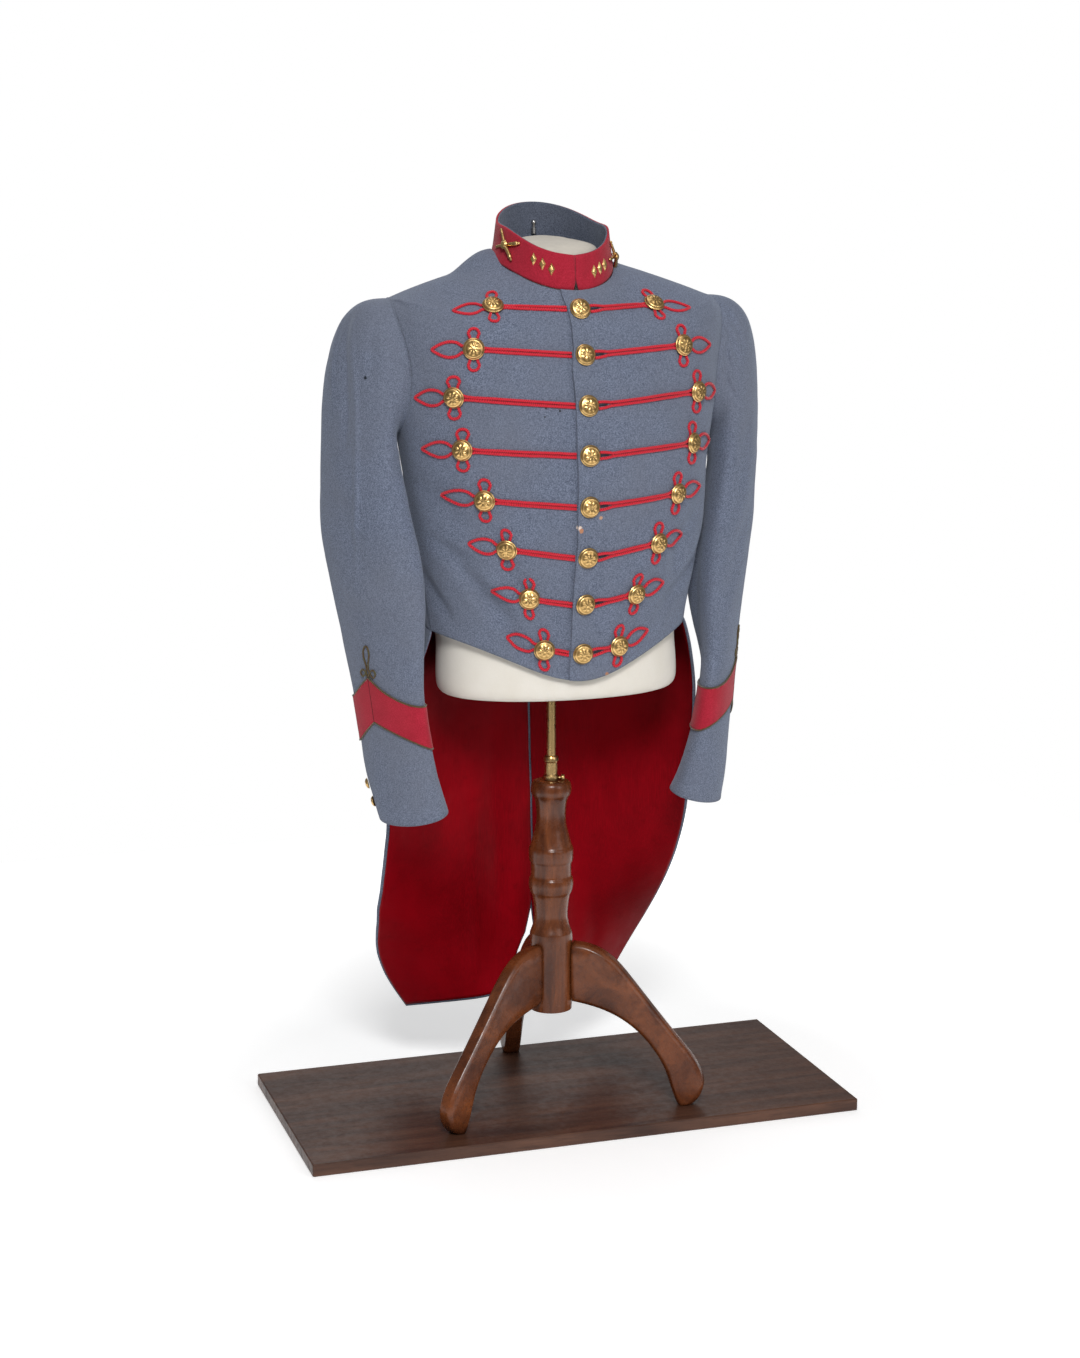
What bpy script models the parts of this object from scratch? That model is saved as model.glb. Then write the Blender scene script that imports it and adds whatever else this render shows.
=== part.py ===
"""Full-dress coatee on a limbless dress form, a turned wooden stand and a plank base.

Metres, +Z up. The world origin is the middle of the plank's underside. The front of the coat
faces -Y and the wearer's left is +X. The coat, the form and the stand are worked out about the
stand's own upright axis, which is parented to an empty a little behind the plank's middle.
"""
import math
from collections import namedtuple

import bmesh
import bpy
from mathutils import Matrix, Vector
from mathutils.bvhtree import BVHTree

# Driving sizes of the whole
STAND_AXIS = Vector((-0.0125, -0.0279, 0.0))
SEAM_GAP = 0.0003
CLOTH = 0.0020
LINING = 0.0010
REST_GAP = 0.0003

# The plank and the stand
PLANK_SIZE = (0.669, 0.308, 0.015)
PLANK_EDGE = 0.0012
LEG_THICKNESS = 0.0210
LEG_EDGE = 0.0040
LEG_BEARINGS = (-150.0, -28.0, 90.0)
TUBE_RADIUS = 0.0057
FERRULE_RADIUS = 0.0090
FERRULE_TOP = 0.4345
COLUMN_SIDES = 16

# The torso's skin: one row for each level, from the hem up to the neck seam
TorsoRow = namedtuple(
    "TorsoRow", "name front_z side_z back_z front_y half_width side_y back_y squareness dip")
TORSO_ROWS = (
    TorsoRow("hem", 0.5440, 0.5970, 0.6040, -0.1070, 0.1545, -0.010, 0.0900, 2.10, 0.0),
    TorsoRow("waist", 0.6030, 0.6420, 0.6470, -0.1130, 0.1580, -0.010, 0.0880, 2.10, 0.0),
    TorsoRow("ribs", 0.6700, 0.6950, 0.7000, -0.1250, 0.1680, -0.010, 0.0930, 2.15, 0.0),
    TorsoRow("chest", 0.7500, 0.7560, 0.7700, -0.1330, 0.1760, -0.010, 0.1010, 2.20, 0.0),
    TorsoRow("armpit", 0.8250, 0.8170, 0.8400, -0.1310, 0.1840, -0.008, 0.1060, 2.25, 0.0),
    TorsoRow("mid armhole", 0.8850, 0.8880, 0.9050, -0.1200, 0.1920, -0.005, 0.1060, 2.40, 0.0),
    TorsoRow("shoulder edge", 0.9300, 0.9580, 0.9540, -0.1080, 0.1980, 0.000, 0.0990, 2.40, 0.006),
    TorsoRow("shoulder slope", 0.9560, 0.9850, 0.9900, -0.0980, 0.1440, 0.003, 0.0910, 2.05, 0.011),
    TorsoRow("neck", 0.9760, 1.0080, 1.0300, -0.0870, 0.0680, 0.000, 0.0790, 2.00, 0.000),
)
HEM_LEVEL = 0.0
NECK_LEVEL = 8.0

# The armhole is an oval in level and bearing, and the side seam runs into its foot
ARMHOLE_FOOT_LEVEL = 4.00
ARMHOLE_TOP_LEVEL = 6.28
ARMHOLE_FRONT_REACH = 18.0
ARMHOLE_BACK_REACH = 17.0
ARMHOLE_STEPS = 10
SIDE_SEAM_AT_HEM = 84.0
SIDE_SEAM_AT_ARMHOLE = 92.0
SHOULDER_SEAM_AT_NECK = 96.0
LOWER_LEVELS = (0.0, 0.55, 1.1, 1.7, 2.3, 2.9, 3.5)
UPPER_LEVELS = (6.7, 7.15, 7.6, 8.0)
FRONT_COLUMNS = 11
BACK_COLUMNS = 12

# The left front laps over the right one
FRONT_EDGE_X = 0.0175
UNDERLAP_X = 0.0200
LAP_RISE = CLOTH + SEAM_GAP + 0.0003
LAP_FLAT_TO = 0.026
LAP_ENDS_AT = 0.070

# The sleeve: rows of an oval tube from the upper arm down to the cuff
SleeveRow = namedtuple("SleeveRow", "z x y half_breadth half_depth turn")
SLEEVE_ROWS = (
    SleeveRow(0.790, 0.2250, 0.0040, 0.0610, 0.0300, 64.0),
    SleeveRow(0.745, 0.2245, 0.0020, 0.0650, 0.0275, 62.0),
    SleeveRow(0.700, 0.2220, -0.0010, 0.0675, 0.0265, 60.0),
    SleeveRow(0.655, 0.2150, -0.0050, 0.0665, 0.0250, 60.0),
    SleeveRow(0.610, 0.2105, -0.0090, 0.0625, 0.0225, 60.0),
    SleeveRow(0.570, 0.2060, -0.0135, 0.0580, 0.0205, 60.0),
    SleeveRow(0.530, 0.2018, -0.0185, 0.0555, 0.0187, 60.0),
    SleeveRow(0.490, 0.1965, -0.0195, 0.0530, 0.0195, 58.0),
    SleeveRow(0.450, 0.1905, -0.0205, 0.0505, 0.0220, 55.0),
    SleeveRow(0.415, 0.1830, -0.0210, 0.0490, 0.0255, 50.0),
    SleeveRow(0.383, 0.1735, -0.0230, 0.0435, 0.0285, 45.0),
)
SLEEVE_SIDES = 2 * ARMHOLE_STEPS
SLEEVE_HEAD_RINGS = 6
SLEEVE_TOP_BEARING = 46.0
HEAD_PUSH_TOP = 0.049
HEAD_PUSH_FOOT = 0.010
HEAD_DROP_TOP = 0.150
HEAD_DROP_FOOT = 0.012
CUFF_SLANT = 0.009
CUFF_LOW_BEARING = 70.0

# The red chevron band round each cuff
BAND_TOP = 0.517
BAND_BOTTOM = 0.466
BAND_RISE = 0.028
BAND_PEAK_TURN = 36.0
BAND_FRONT_REACH = 105.0
BAND_BACK_REACH = 44.0
BAND_CLOTH = 0.0014
BAND_LIFT = 0.0005

# The tails hang from the waist seam: the vent edge, the outer edge and the way it turns
TailRow = namedtuple("TailRow", "vent_z vent_x vent_y edge_z edge_y left_x right_x edge_turn")
TAIL_ROWS = (
    TailRow(0.6040, 0.0003, 0.0900, 0.5970, -0.0300, 0.1540, 0.1540, -90.0),
    TailRow(0.5600, 0.0003, 0.0945, 0.5600, -0.0170, 0.1750, 0.1570, -80.0),
    TailRow(0.5050, 0.0003, 0.0985, 0.5000, 0.0160, 0.1890, 0.1780, -62.0),
    TailRow(0.4500, 0.0003, 0.1010, 0.4400, 0.0300, 0.1910, 0.1870, -42.0),
    TailRow(0.3950, 0.0003, 0.1020, 0.3800, 0.0360, 0.1900, 0.1895, -25.0),
    TailRow(0.3400, 0.0003, 0.1030, 0.3200, 0.0540, 0.1880, 0.1890, -8.0),
    TailRow(0.2850, 0.0003, 0.1030, 0.2600, 0.0900, 0.1845, 0.1870, 10.0),
    TailRow(0.2300, 0.0012, 0.1020, 0.2000, 0.1340, 0.1750, 0.1815, 26.0),
    TailRow(0.1750, 0.0130, 0.1010, 0.1440, 0.1660, 0.1560, 0.1690, 34.0),
    TailRow(0.1180, 0.0140, 0.1000, 0.0880, 0.1700, 0.1250, 0.1340, 36.0),
)
TAIL_ROW_COUNT = 14
TAIL_COLUMN_COUNT = 8
TAIL_BLEND_ROWS = 2.2
TAIL_TANGENT = 0.37
LINING_INSET = 0.0032
VENT_INSET = 0.0012

# The collar stands on the neck seam
COLLAR_RIM = TorsoRow("rim", 1.0155, 1.0480, 1.0738, -0.0822, 0.0625, -0.002, 0.0757, 2.00, 0.0)
COLLAR_SIDES = 24
COLLAR_OPENING = 0.7
COLLAR_CLOTH = 0.0022
COLLAR_LINING = 0.0012

# Rows of braid and buttons: heights on the centre line and at the outer button and loop tip
ButtonRow = namedtuple("ButtonRow", "centre_z outer_x outer_z tip_x tip_z")
BUTTON_ROWS = (
    ButtonRow(0.9575, 0.0935, 0.9600, 0.1375, 0.9560),
    ButtonRow(0.9085, 0.1210, 0.9160, 0.1620, 0.9150),
    ButtonRow(0.8540, 0.1410, 0.8640, 0.1760, 0.8620),
    ButtonRow(0.8000, 0.1340, 0.8070, 0.1690, 0.8060),
    ButtonRow(0.7435, 0.1120, 0.7520, 0.1510, 0.7560),
    ButtonRow(0.6865, 0.0875, 0.6975, 0.1260, 0.7030),
    ButtonRow(0.6330, 0.0620, 0.6410, 0.1010, 0.6500),
    ButtonRow(0.5760, 0.0435, 0.5820, 0.0825, 0.5960),
)
BUTTON_RADIUS = 0.0120
BUTTON_SIDES = 8
BUTTON_PROFILE = ((0.0114, 0.0), (0.0120, 0.0011), (0.0088, 0.0046))
BUTTON_HEIGHT = 0.0060
CENTRE_BUTTON_LIFT = 0.0006
OUTER_BUTTON_LIFT = 0.0037
CORD_WIDTH = 0.0030
CORD_HEIGHT = 0.0017
CORD_LIFT = 0.0011
CORD_PAIR_OFFSET = 0.0018
BAR_STEP = 0.020
SMALL_LOOP_CENTRE = 0.0176
SMALL_LOOP_RADIUS = 0.0056
LEAF_HALF_WIDTH = 0.0085
BUTTONHOLE_HALF_WIDTH = 0.0036
BUTTONHOLE_LENGTH = 0.020

# The dress form: rings below the waist, then the coat's own skin moved in, then a neck stump
FormRow = namedtuple("FormRow", "z front_y half_width back_y middle_x")
FORM_BASE_ROWS = (
    FormRow(0.5175, -0.0850, 0.1340, 0.0640, 0.0040),
    FormRow(0.5188, -0.0920, 0.1415, 0.0710, 0.0040),
    FormRow(0.5240, -0.0975, 0.1475, 0.0770, 0.0038),
    FormRow(0.5340, -0.0990, 0.1495, 0.0790, 0.0035),
    FormRow(0.5560, -0.0990, 0.1485, 0.0800, 0.0030),
    FormRow(0.5850, -0.0985, 0.1460, 0.0800, 0.0020),
)
FORM_LEVELS = (0.95, 1.7, 2.6, 3.5, 4.4, 5.3, 6.0, 6.5, 7.2)
FORM_INSET = 0.0070
FORM_SIDES = 20
FormNeck = namedtuple("FormNeck", "z half_width front_y back_y front_rise")
FORM_NECK_ROWS = (
    FormNeck(0.9880, 0.0570, -0.0660, 0.0660, -0.022),
    FormNeck(1.0190, 0.0540, -0.0600, 0.0620, -0.009),
    FormNeck(1.0270, 0.0490, -0.0550, 0.0570, -0.008),
    FormNeck(1.0310, 0.0290, -0.0340, 0.0350, -0.005),
)
SOCKET_DEPTH = 0.045
SOCKET_SIDES = 12

# Profiles of the turned column and one leg's outline, from the top down: (radius, height)
COLUMN_PROFILE = (
    (0.0185, 0.4055), (0.0220, 0.4035), (0.0238, 0.3980), (0.0236, 0.3905), (0.0205, 0.3850),
    (0.0186, 0.3790), (0.0174, 0.3640), (0.0182, 0.3520), (0.0210, 0.3400), (0.0245, 0.3270),
    (0.0263, 0.3230), (0.0260, 0.3090), (0.0242, 0.3060), (0.0240, 0.2900), (0.0256, 0.2875),
    (0.0264, 0.2790), (0.0248, 0.2710), (0.0222, 0.2650), (0.0197, 0.2450), (0.0213, 0.2310),
    (0.0250, 0.2200), (0.0240, 0.2165), (0.0256, 0.2135), (0.0256, 0.1330), (0.0236, 0.1296),
)
TUBE_PROFILE = (
    (TUBE_RADIUS - 0.0008, 0.5500), (TUBE_RADIUS, 0.5490), (TUBE_RADIUS, FERRULE_TOP + 0.0005),
    (0.0078, FERRULE_TOP), (FERRULE_RADIUS, 0.4320), (FERRULE_RADIUS, 0.4290), (0.0076, 0.4270),
    (0.0076, 0.4130), (FERRULE_RADIUS, 0.4110), (FERRULE_RADIUS, 0.4065),
    (0.0080, 0.4055 + REST_GAP),
)
LEG_OUTLINE = (
    (0.0260, 0.2090), (0.0450, 0.2075), (0.0620, 0.2010), (0.0780, 0.1890), (0.0920, 0.1735),
    (0.1190, 0.1390), (0.1540, 0.0960), (0.1740, 0.0730), (0.1840, 0.0540), (0.1860, 0.0390),
    (0.1800, 0.0240), (0.1690, 0.0153), (0.1550, 0.0153), (0.1480, 0.0300), (0.1400, 0.0590),
    (0.1250, 0.0840), (0.1010, 0.1100), (0.0720, 0.1265), (0.0450, 0.1340), (0.0260, 0.1370),
)

FRONT_RAY = Vector((0.0, 1.0, 0.0))
UP = Vector((0.0, 0.0, 1.0))
SIDES = (("left", 1.0), ("right", -1.0))


def clear_scene():
    for thing in list(bpy.data.objects):
        bpy.data.objects.remove(thing, do_unlink=True)


def make_material(name, colour, roughness, metallic=0.0):
    material = bpy.data.materials.new(name)
    material.use_nodes = True
    shader = material.node_tree.nodes["Principled BSDF"]
    shader.inputs["Base Color"].default_value = (*colour, 1.0)
    shader.inputs["Roughness"].default_value = roughness
    shader.inputs["Metallic"].default_value = metallic
    material.diffuse_color = (*colour, 1.0)
    return material


def smoothstep(t):
    t = max(0.0, min(1.0, t))
    return t * t * (3.0 - 2.0 * t)


def catmull_rom(a, b, c, d, t):
    return 0.5 * (2.0 * b + (c - a) * t + (2.0 * a - 5.0 * b + 4.0 * c - d) * t * t
                  + (3.0 * b - a - 3.0 * c + d) * t ** 3)


def row_at(rows, level):
    """A table's row between its rows, read from a smooth curve through each column."""
    last = len(rows) - 1
    level = max(0.0, min(float(last), level))
    first = min(int(level), last - 1)
    near = [rows[max(0, min(last, first + step))] for step in (-1, 0, 1, 2)]
    if first == 0:
        near[0] = [2.0 * b - c if isinstance(b, float) else b for b, c in zip(near[1], near[2])]
    if first == last - 1:
        near[3] = [2.0 * c - b if isinstance(b, float) else b for b, c in zip(near[1], near[2])]
    values = []
    for a, b, c, d in zip(*near):
        values.append(b if isinstance(b, str) else catmull_rom(a, b, c, d, level - first))
    return type(rows[0])(*values)


def skin_point(row, bearing):
    """A point on one level of a body shape. Bearing 0 is the front, 90 the wearer's left."""
    angle = math.radians(bearing)
    ahead = math.cos(angle)
    across = math.sin(angle)
    reach = row.side_y - row.front_y if ahead > 0.0 else row.back_y - row.side_y
    end_z = row.front_z if ahead > 0.0 else row.back_z
    n = row.squareness
    radius = (abs(ahead / reach) ** n + abs(across / row.half_width) ** n) ** (-1.0 / n)
    height = row.side_z + (end_z - row.side_z) * ahead * ahead
    height -= row.dip * (2.0 * ahead * across) ** 2
    return Vector((radius * across, row.side_y - radius * ahead, height))


def torso_point(bearing, level):
    return skin_point(row_at(TORSO_ROWS, level), bearing)


def torso_normal(bearing, level):
    step = 0.02
    low = max(0.0, level - step)
    high = min(NECK_LEVEL, level + step)
    along = torso_point(bearing + 0.5, level) - torso_point(bearing - 0.5, level)
    rise = torso_point(bearing, high) - torso_point(bearing, low)
    return along.cross(rise).normalized()


def seam_bearing(level):
    """Side seam below the armhole and shoulder seam above it."""
    if level <= ARMHOLE_FOOT_LEVEL:
        t = level / ARMHOLE_FOOT_LEVEL
        return SIDE_SEAM_AT_HEM + (SIDE_SEAM_AT_ARMHOLE - SIDE_SEAM_AT_HEM) * t
    if level >= ARMHOLE_TOP_LEVEL:
        t = (level - ARMHOLE_TOP_LEVEL) / (NECK_LEVEL - ARMHOLE_TOP_LEVEL)
        return SIDE_SEAM_AT_ARMHOLE + (SHOULDER_SEAM_AT_NECK - SIDE_SEAM_AT_ARMHOLE) * t
    return SIDE_SEAM_AT_ARMHOLE


def armhole_edge(turn):
    """Bearing and level on the armhole. Turn 0 is the shoulder, 90 the front, 180 the foot."""
    middle = 0.5 * (ARMHOLE_FOOT_LEVEL + ARMHOLE_TOP_LEVEL)
    half = 0.5 * (ARMHOLE_TOP_LEVEL - ARMHOLE_FOOT_LEVEL)
    level = middle + half * math.cos(math.radians(turn))
    reach = ARMHOLE_FRONT_REACH if turn % 360.0 < 180.0 else ARMHOLE_BACK_REACH
    return seam_bearing(level) - reach * math.sin(math.radians(turn)), level


def panel_levels():
    steps = [armhole_edge(180.0 - 180.0 * i / ARMHOLE_STEPS)[1] for i in range(ARMHOLE_STEPS + 1)]
    return list(LOWER_LEVELS) + steps + list(UPPER_LEVELS)


def panel_edge(level, reach):
    """Outer edge of a panel: the seam, but for the armhole, which reaches in by degrees."""
    if level <= ARMHOLE_FOOT_LEVEL or level >= ARMHOLE_TOP_LEVEL:
        return seam_bearing(level)
    middle = 0.5 * (ARMHOLE_FOOT_LEVEL + ARMHOLE_TOP_LEVEL)
    half = 0.5 * (ARMHOLE_TOP_LEVEL - ARMHOLE_FOOT_LEVEL)
    depth = math.sqrt(max(0.0, 1.0 - ((level - middle) / half) ** 2))
    return seam_bearing(level) - reach * depth


def seam_shift(bearing, level):
    """Half a seam's gap as degrees of bearing."""
    flat = torso_point(bearing, level)
    radius = math.hypot(flat.x, flat.y - row_at(TORSO_ROWS, level).side_y)
    return math.degrees(0.5 * SEAM_GAP / radius)


def bearing_at_x(x, level):
    """Bearing near the front where the skin passes a given distance from the centre line."""
    bearing = 0.0
    for _ in range(6):
        row = row_at(TORSO_ROWS, level)
        ahead = row.side_y - skin_point(row, bearing).y
        bearing = math.degrees(math.atan2(x, ahead))
    return bearing


def mirrored(point, side):
    return Vector((point.x * side, point.y, point.z))


def new_object(name, bm, material, parent, smooth_angle=40.0):
    bmesh.ops.recalc_face_normals(bm, faces=bm.faces)
    mesh = bpy.data.meshes.new(name)
    bm.to_mesh(mesh)
    bm.free()
    mesh.materials.append(material)
    mesh.shade_smooth()
    mesh.set_sharp_from_angle(angle=math.radians(smooth_angle))
    thing = bpy.data.objects.new(name, mesh)
    bpy.context.scene.collection.objects.link(thing)
    thing.parent = parent
    return thing


def wall_mesh(outer, inner, closed_round):
    """A closed wall between two equal grids of points, given as rows."""
    bm = bmesh.new()
    skins = []
    for grid in (outer, inner):
        skins.append([[bm.verts.new(point) for point in row] for row in grid])
    out, into = skins
    rows = len(out)
    columns = len(out[0])
    spans = columns if closed_round else columns - 1
    for i in range(rows - 1):
        for j in range(spans):
            k = (j + 1) % columns
            bm.faces.new((out[i][j], out[i][k], out[i + 1][k], out[i + 1][j]))
            bm.faces.new((into[i][j], into[i + 1][j], into[i + 1][k], into[i][k]))
    for j in range(spans):
        k = (j + 1) % columns
        bm.faces.new((out[0][j], into[0][j], into[0][k], out[0][k]))
        bm.faces.new((out[-1][j], out[-1][k], into[-1][k], into[-1][j]))
    if not closed_round:
        for i in range(rows - 1):
            bm.faces.new((out[i][0], out[i + 1][0], into[i + 1][0], into[i][0]))
            bm.faces.new((out[i][-1], into[i][-1], into[i + 1][-1], out[i + 1][-1]))
    return bm


def grid_normals(grid, closed_round, away_from):
    """Unit normals of a grid by differences, turned away from a point for each row."""
    rows = len(grid)
    columns = len(grid[0])
    normals = []
    for i in range(rows):
        line = []
        for j in range(columns):
            if closed_round:
                along = grid[i][(j + 1) % columns] - grid[i][j - 1]
            else:
                along = grid[i][min(j + 1, columns - 1)] - grid[i][max(j - 1, 0)]
            rise = grid[min(i + 1, rows - 1)][j] - grid[max(i - 1, 0)][j]
            normal = along.cross(rise).normalized()
            if normal.dot(grid[i][j] - away_from(i, j)) < 0.0:
                normal.negate()
            line.append(normal)
        normals.append(line)
    return normals


def moved(grid, normals, distance):
    return [[p + n * distance for p, n in zip(*pair)] for pair in zip(grid, normals)]


def turned_mesh(profile, sides, centre=Vector()):
    """A closed solid of revolution from (radius, height) pairs, with flat ends."""
    bm = bmesh.new()
    rings = []
    for radius, height in profile:
        ring = []
        for k in range(sides):
            angle = 2.0 * math.pi * k / sides
            spot = Vector((radius * math.cos(angle), radius * math.sin(angle), height))
            ring.append(bm.verts.new(spot + centre))
        rings.append(ring)
    for upper, lower in zip(rings, rings[1:]):
        for k in range(sides):
            n = (k + 1) % sides
            bm.faces.new((upper[k], upper[n], lower[n], lower[k]))
    bm.faces.new(rings[0])
    bm.faces.new(rings[-1])
    return bm


def lap_rise(x):
    """How far the left front stands off where it laps over the right one."""
    return LAP_RISE * (1.0 - smoothstep((x - LAP_FLAT_TO) / (LAP_ENDS_AT - LAP_FLAT_TO)))


def front_grid(side):
    """Points and normals of one front, from its edge to the side seam, hem to neck."""
    grid = []
    normals = []
    for level in panel_levels():
        edge_x = -FRONT_EDGE_X if side > 0.0 else -UNDERLAP_X
        start = bearing_at_x(edge_x, level)
        stop = panel_edge(level, ARMHOLE_FRONT_REACH)
        stop -= seam_shift(stop, level)
        line = []
        line_normals = []
        for j in range(FRONT_COLUMNS + 1):
            bearing = start + (stop - start) * j / FRONT_COLUMNS
            point = torso_point(bearing, level)
            normal = torso_normal(bearing, level)
            if side > 0.0:
                point += normal * lap_rise(point.x)
            line.append(mirrored(point, side))
            line_normals.append(mirrored(normal, side))
        grid.append(line)
        normals.append(line_normals)
    return grid, normals


def make_front(name, side, material, parent):
    grid, normals = front_grid(side)
    bm = wall_mesh(grid, moved(grid, normals, -CLOTH), False)
    return new_object(name, bm, material, parent)


def make_back(material, parent):
    grid = []
    normals = []
    for level in panel_levels():
        seam = seam_bearing(level)
        edge = 2.0 * seam - panel_edge(level, ARMHOLE_BACK_REACH)
        edge += seam_shift(edge, level)
        line = []
        line_normals = []
        for j in range(BACK_COLUMNS + 1):
            bearing = edge + (360.0 - 2.0 * edge) * j / BACK_COLUMNS
            line.append(torso_point(bearing, level))
            line_normals.append(torso_normal(bearing, level))
        grid.append(line)
        normals.append(line_normals)
    bm = wall_mesh(grid, moved(grid, normals, -CLOTH), False)
    return new_object("back", bm, material, parent)


def sleeve_ring_point(row, turn, slant=0.0):
    """A point of the oval tube. Turn 0 is its outermost side, 90 the front."""
    tau = math.radians(turn + SLEEVE_TOP_BEARING)
    lean = math.radians(row.turn)
    broad = Vector((math.cos(lean), math.sin(lean), 0.0))
    deep = Vector((math.sin(lean), -math.cos(lean), 0.0))
    centre = Vector((row.x, row.y, row.z))
    drop = slant * math.cos(tau - math.radians(CUFF_LOW_BEARING))
    return (centre + broad * (row.half_breadth * math.cos(tau))
            + deep * (row.half_depth * math.sin(tau)) - UP * drop)


def bezier(a, b, c, d, t):
    s = 1.0 - t
    return a * s ** 3 + b * 3.0 * s * s * t + c * 3.0 * s * t * t + d * t ** 3


def sleeve_grid():
    """Outer skin of the wearer's left sleeve, from the armhole down, one row for each ring."""
    turns = [360.0 * k / SLEEVE_SIDES for k in range(SLEEVE_SIDES)]
    head = []
    middle = torso_point(*armhole_edge(0.0)).lerp(torso_point(*armhole_edge(180.0)), 0.5)
    for turn in turns:
        bearing, level = armhole_edge(turn)
        normal = torso_normal(bearing, level)
        edge = torso_point(bearing, level)
        into = (middle - edge)
        into = (into - normal * into.dot(normal)).normalized()
        edge = edge + into * (1.3 * SEAM_GAP)
        topness = 0.5 + 0.5 * math.cos(math.radians(turn))
        outward = normal.lerp(Vector((1.0, 0.0, -0.10)), 0.75 * topness).normalized()
        push = HEAD_PUSH_FOOT + (HEAD_PUSH_TOP - HEAD_PUSH_FOOT) * topness
        drop = HEAD_DROP_FOOT + (HEAD_DROP_TOP - HEAD_DROP_FOOT) * topness
        end = sleeve_ring_point(SLEEVE_ROWS[0], turn)
        head.append((edge, edge + outward * push, end + UP * drop, end))
    grid = []
    for ring in range(SLEEVE_HEAD_RINGS):
        t = ring / SLEEVE_HEAD_RINGS
        grid.append([bezier(*curve, t) for curve in head])
    for row in SLEEVE_ROWS:
        slant = CUFF_SLANT if row is SLEEVE_ROWS[-1] else 0.0
        grid.append([sleeve_ring_point(row, turn, slant) for turn in turns])
    return grid


def ring_middle(ring):
    return sum(ring, Vector()) / len(ring)


def sleeve_skins():
    grid = sleeve_grid()
    middles = [ring_middle(ring) for ring in grid]
    normals = grid_normals(grid, True, lambda i, j: middles[i])
    return grid, normals


def make_sleeve(name, side, material, parent):
    grid, normals = sleeve_skins()
    inner = moved(grid, normals, -CLOTH)
    outer = [[mirrored(p, side) for p in row] for row in grid]
    inner = [[mirrored(p, side) for p in row] for row in inner]
    return new_object(name, wall_mesh(outer, inner, True), material, parent)


def column_point(grid, normals, column, height, lift):
    """The point at a given height on one lengthwise line of a grid, moved out by lift."""
    for i in range(len(grid) - 1):
        high = grid[i][column]
        low = grid[i + 1][column]
        if high.z >= height >= low.z:
            t = (high.z - height) / (high.z - low.z)
            normal = normals[i][column].lerp(normals[i + 1][column], t).normalized()
            return high.lerp(low, t) + normal * lift
    raise ValueError("no point of the sleeve at that height")


def band_rise(turn, share):
    """The chevron's height above its level stretch, steeper at its upper edge in front."""
    ahead = (turn - BAND_PEAK_TURN + 180.0) % 360.0 - 180.0
    if ahead < 0.0:
        return BAND_RISE * max(0.0, 1.0 + ahead / BAND_BACK_REACH)
    return BAND_RISE * max(0.0, 1.0 - ahead / BAND_FRONT_REACH) ** (1.2 + 1.7 * share)


def make_cuff_band(name, side, material, parent):
    grid, normals = sleeve_skins()
    outer = []
    inner = []
    for share in (1.0, 0.5, 0.0):
        outer_row = []
        inner_row = []
        for column in range(SLEEVE_SIDES):
            turn = 360.0 * column / SLEEVE_SIDES
            height = BAND_BOTTOM + (BAND_TOP - BAND_BOTTOM) * share + band_rise(turn, share)
            inner_row.append(mirrored(
                column_point(grid, normals, column, height, BAND_LIFT), side))
            outer_row.append(mirrored(
                column_point(grid, normals, column, height, BAND_LIFT + BAND_CLOTH), side))
        outer.append(outer_row)
        inner.append(inner_row)
    return new_object(name, wall_mesh(outer, inner, True), material, parent)


def tail_point(side, across, down):
    """A tail's outer skin. Across runs from the vent to the outer edge, down by table rows."""
    row = row_at(TAIL_ROWS, down)
    edge_x = row.left_x if side > 0.0 else row.right_x
    vent = Vector((row.vent_x, row.vent_y, row.vent_z))
    edge = Vector((edge_x, row.edge_y, row.edge_z))
    reach = (edge - vent).length * TAIL_TANGENT
    turn = math.radians(row.edge_turn)
    away = Vector((reach, 0.0, 0.0))
    back = Vector((math.cos(turn), math.sin(turn), 0.0)) * reach
    vent_pull = vent + away + UP * ((edge.z - vent.z) * TAIL_TANGENT)
    edge_pull = edge - back - UP * ((edge.z - vent.z) * TAIL_TANGENT)
    low = bezier(vent, vent_pull, edge_pull, edge, across)
    seam = 180.0 + (SIDE_SEAM_AT_HEM - 180.0) * across
    top = torso_point(seam, HEM_LEVEL) - UP * SEAM_GAP
    top.x = max(top.x, TAIL_ROWS[0].vent_x)
    point = top.lerp(low, smoothstep(down / TAIL_BLEND_ROWS))
    return mirrored(point, side)


def tail_skins(side):
    last = len(TAIL_ROWS) - 1
    grid = []
    for i in range(TAIL_ROW_COUNT + 1):
        down = last * i / TAIL_ROW_COUNT
        grid.append([tail_point(side, j / TAIL_COLUMN_COUNT, down)
                     for j in range(TAIL_COLUMN_COUNT + 1)])
    normals = grid_normals(grid, False, lambda i, j: Vector((0.0, -0.12, grid[i][j].z)))
    for normal in normals[0]:
        normal.z = 0.0
        normal.normalize()
    return grid, normals


def make_tail(name, side, material, parent):
    grid, normals = tail_skins(side)
    return new_object(name, wall_mesh(grid, moved(grid, normals, -CLOTH), False), material, parent)


def inset_line(line, start, stop):
    """A row of vectors with its first and last moved in along the row, by shares of a span."""
    inner = list(line)
    inner[0] = line[0].lerp(line[1], start)
    inner[-1] = line[-1].lerp(line[-2], stop)
    return inner


def inset_grid(grid, top, bottom, start, stop):
    rows = [inset_line(line, start, stop) for line in grid]
    columns = [inset_line(list(column), top, bottom) for column in zip(*rows)]
    return [list(row) for row in zip(*columns)]


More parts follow.
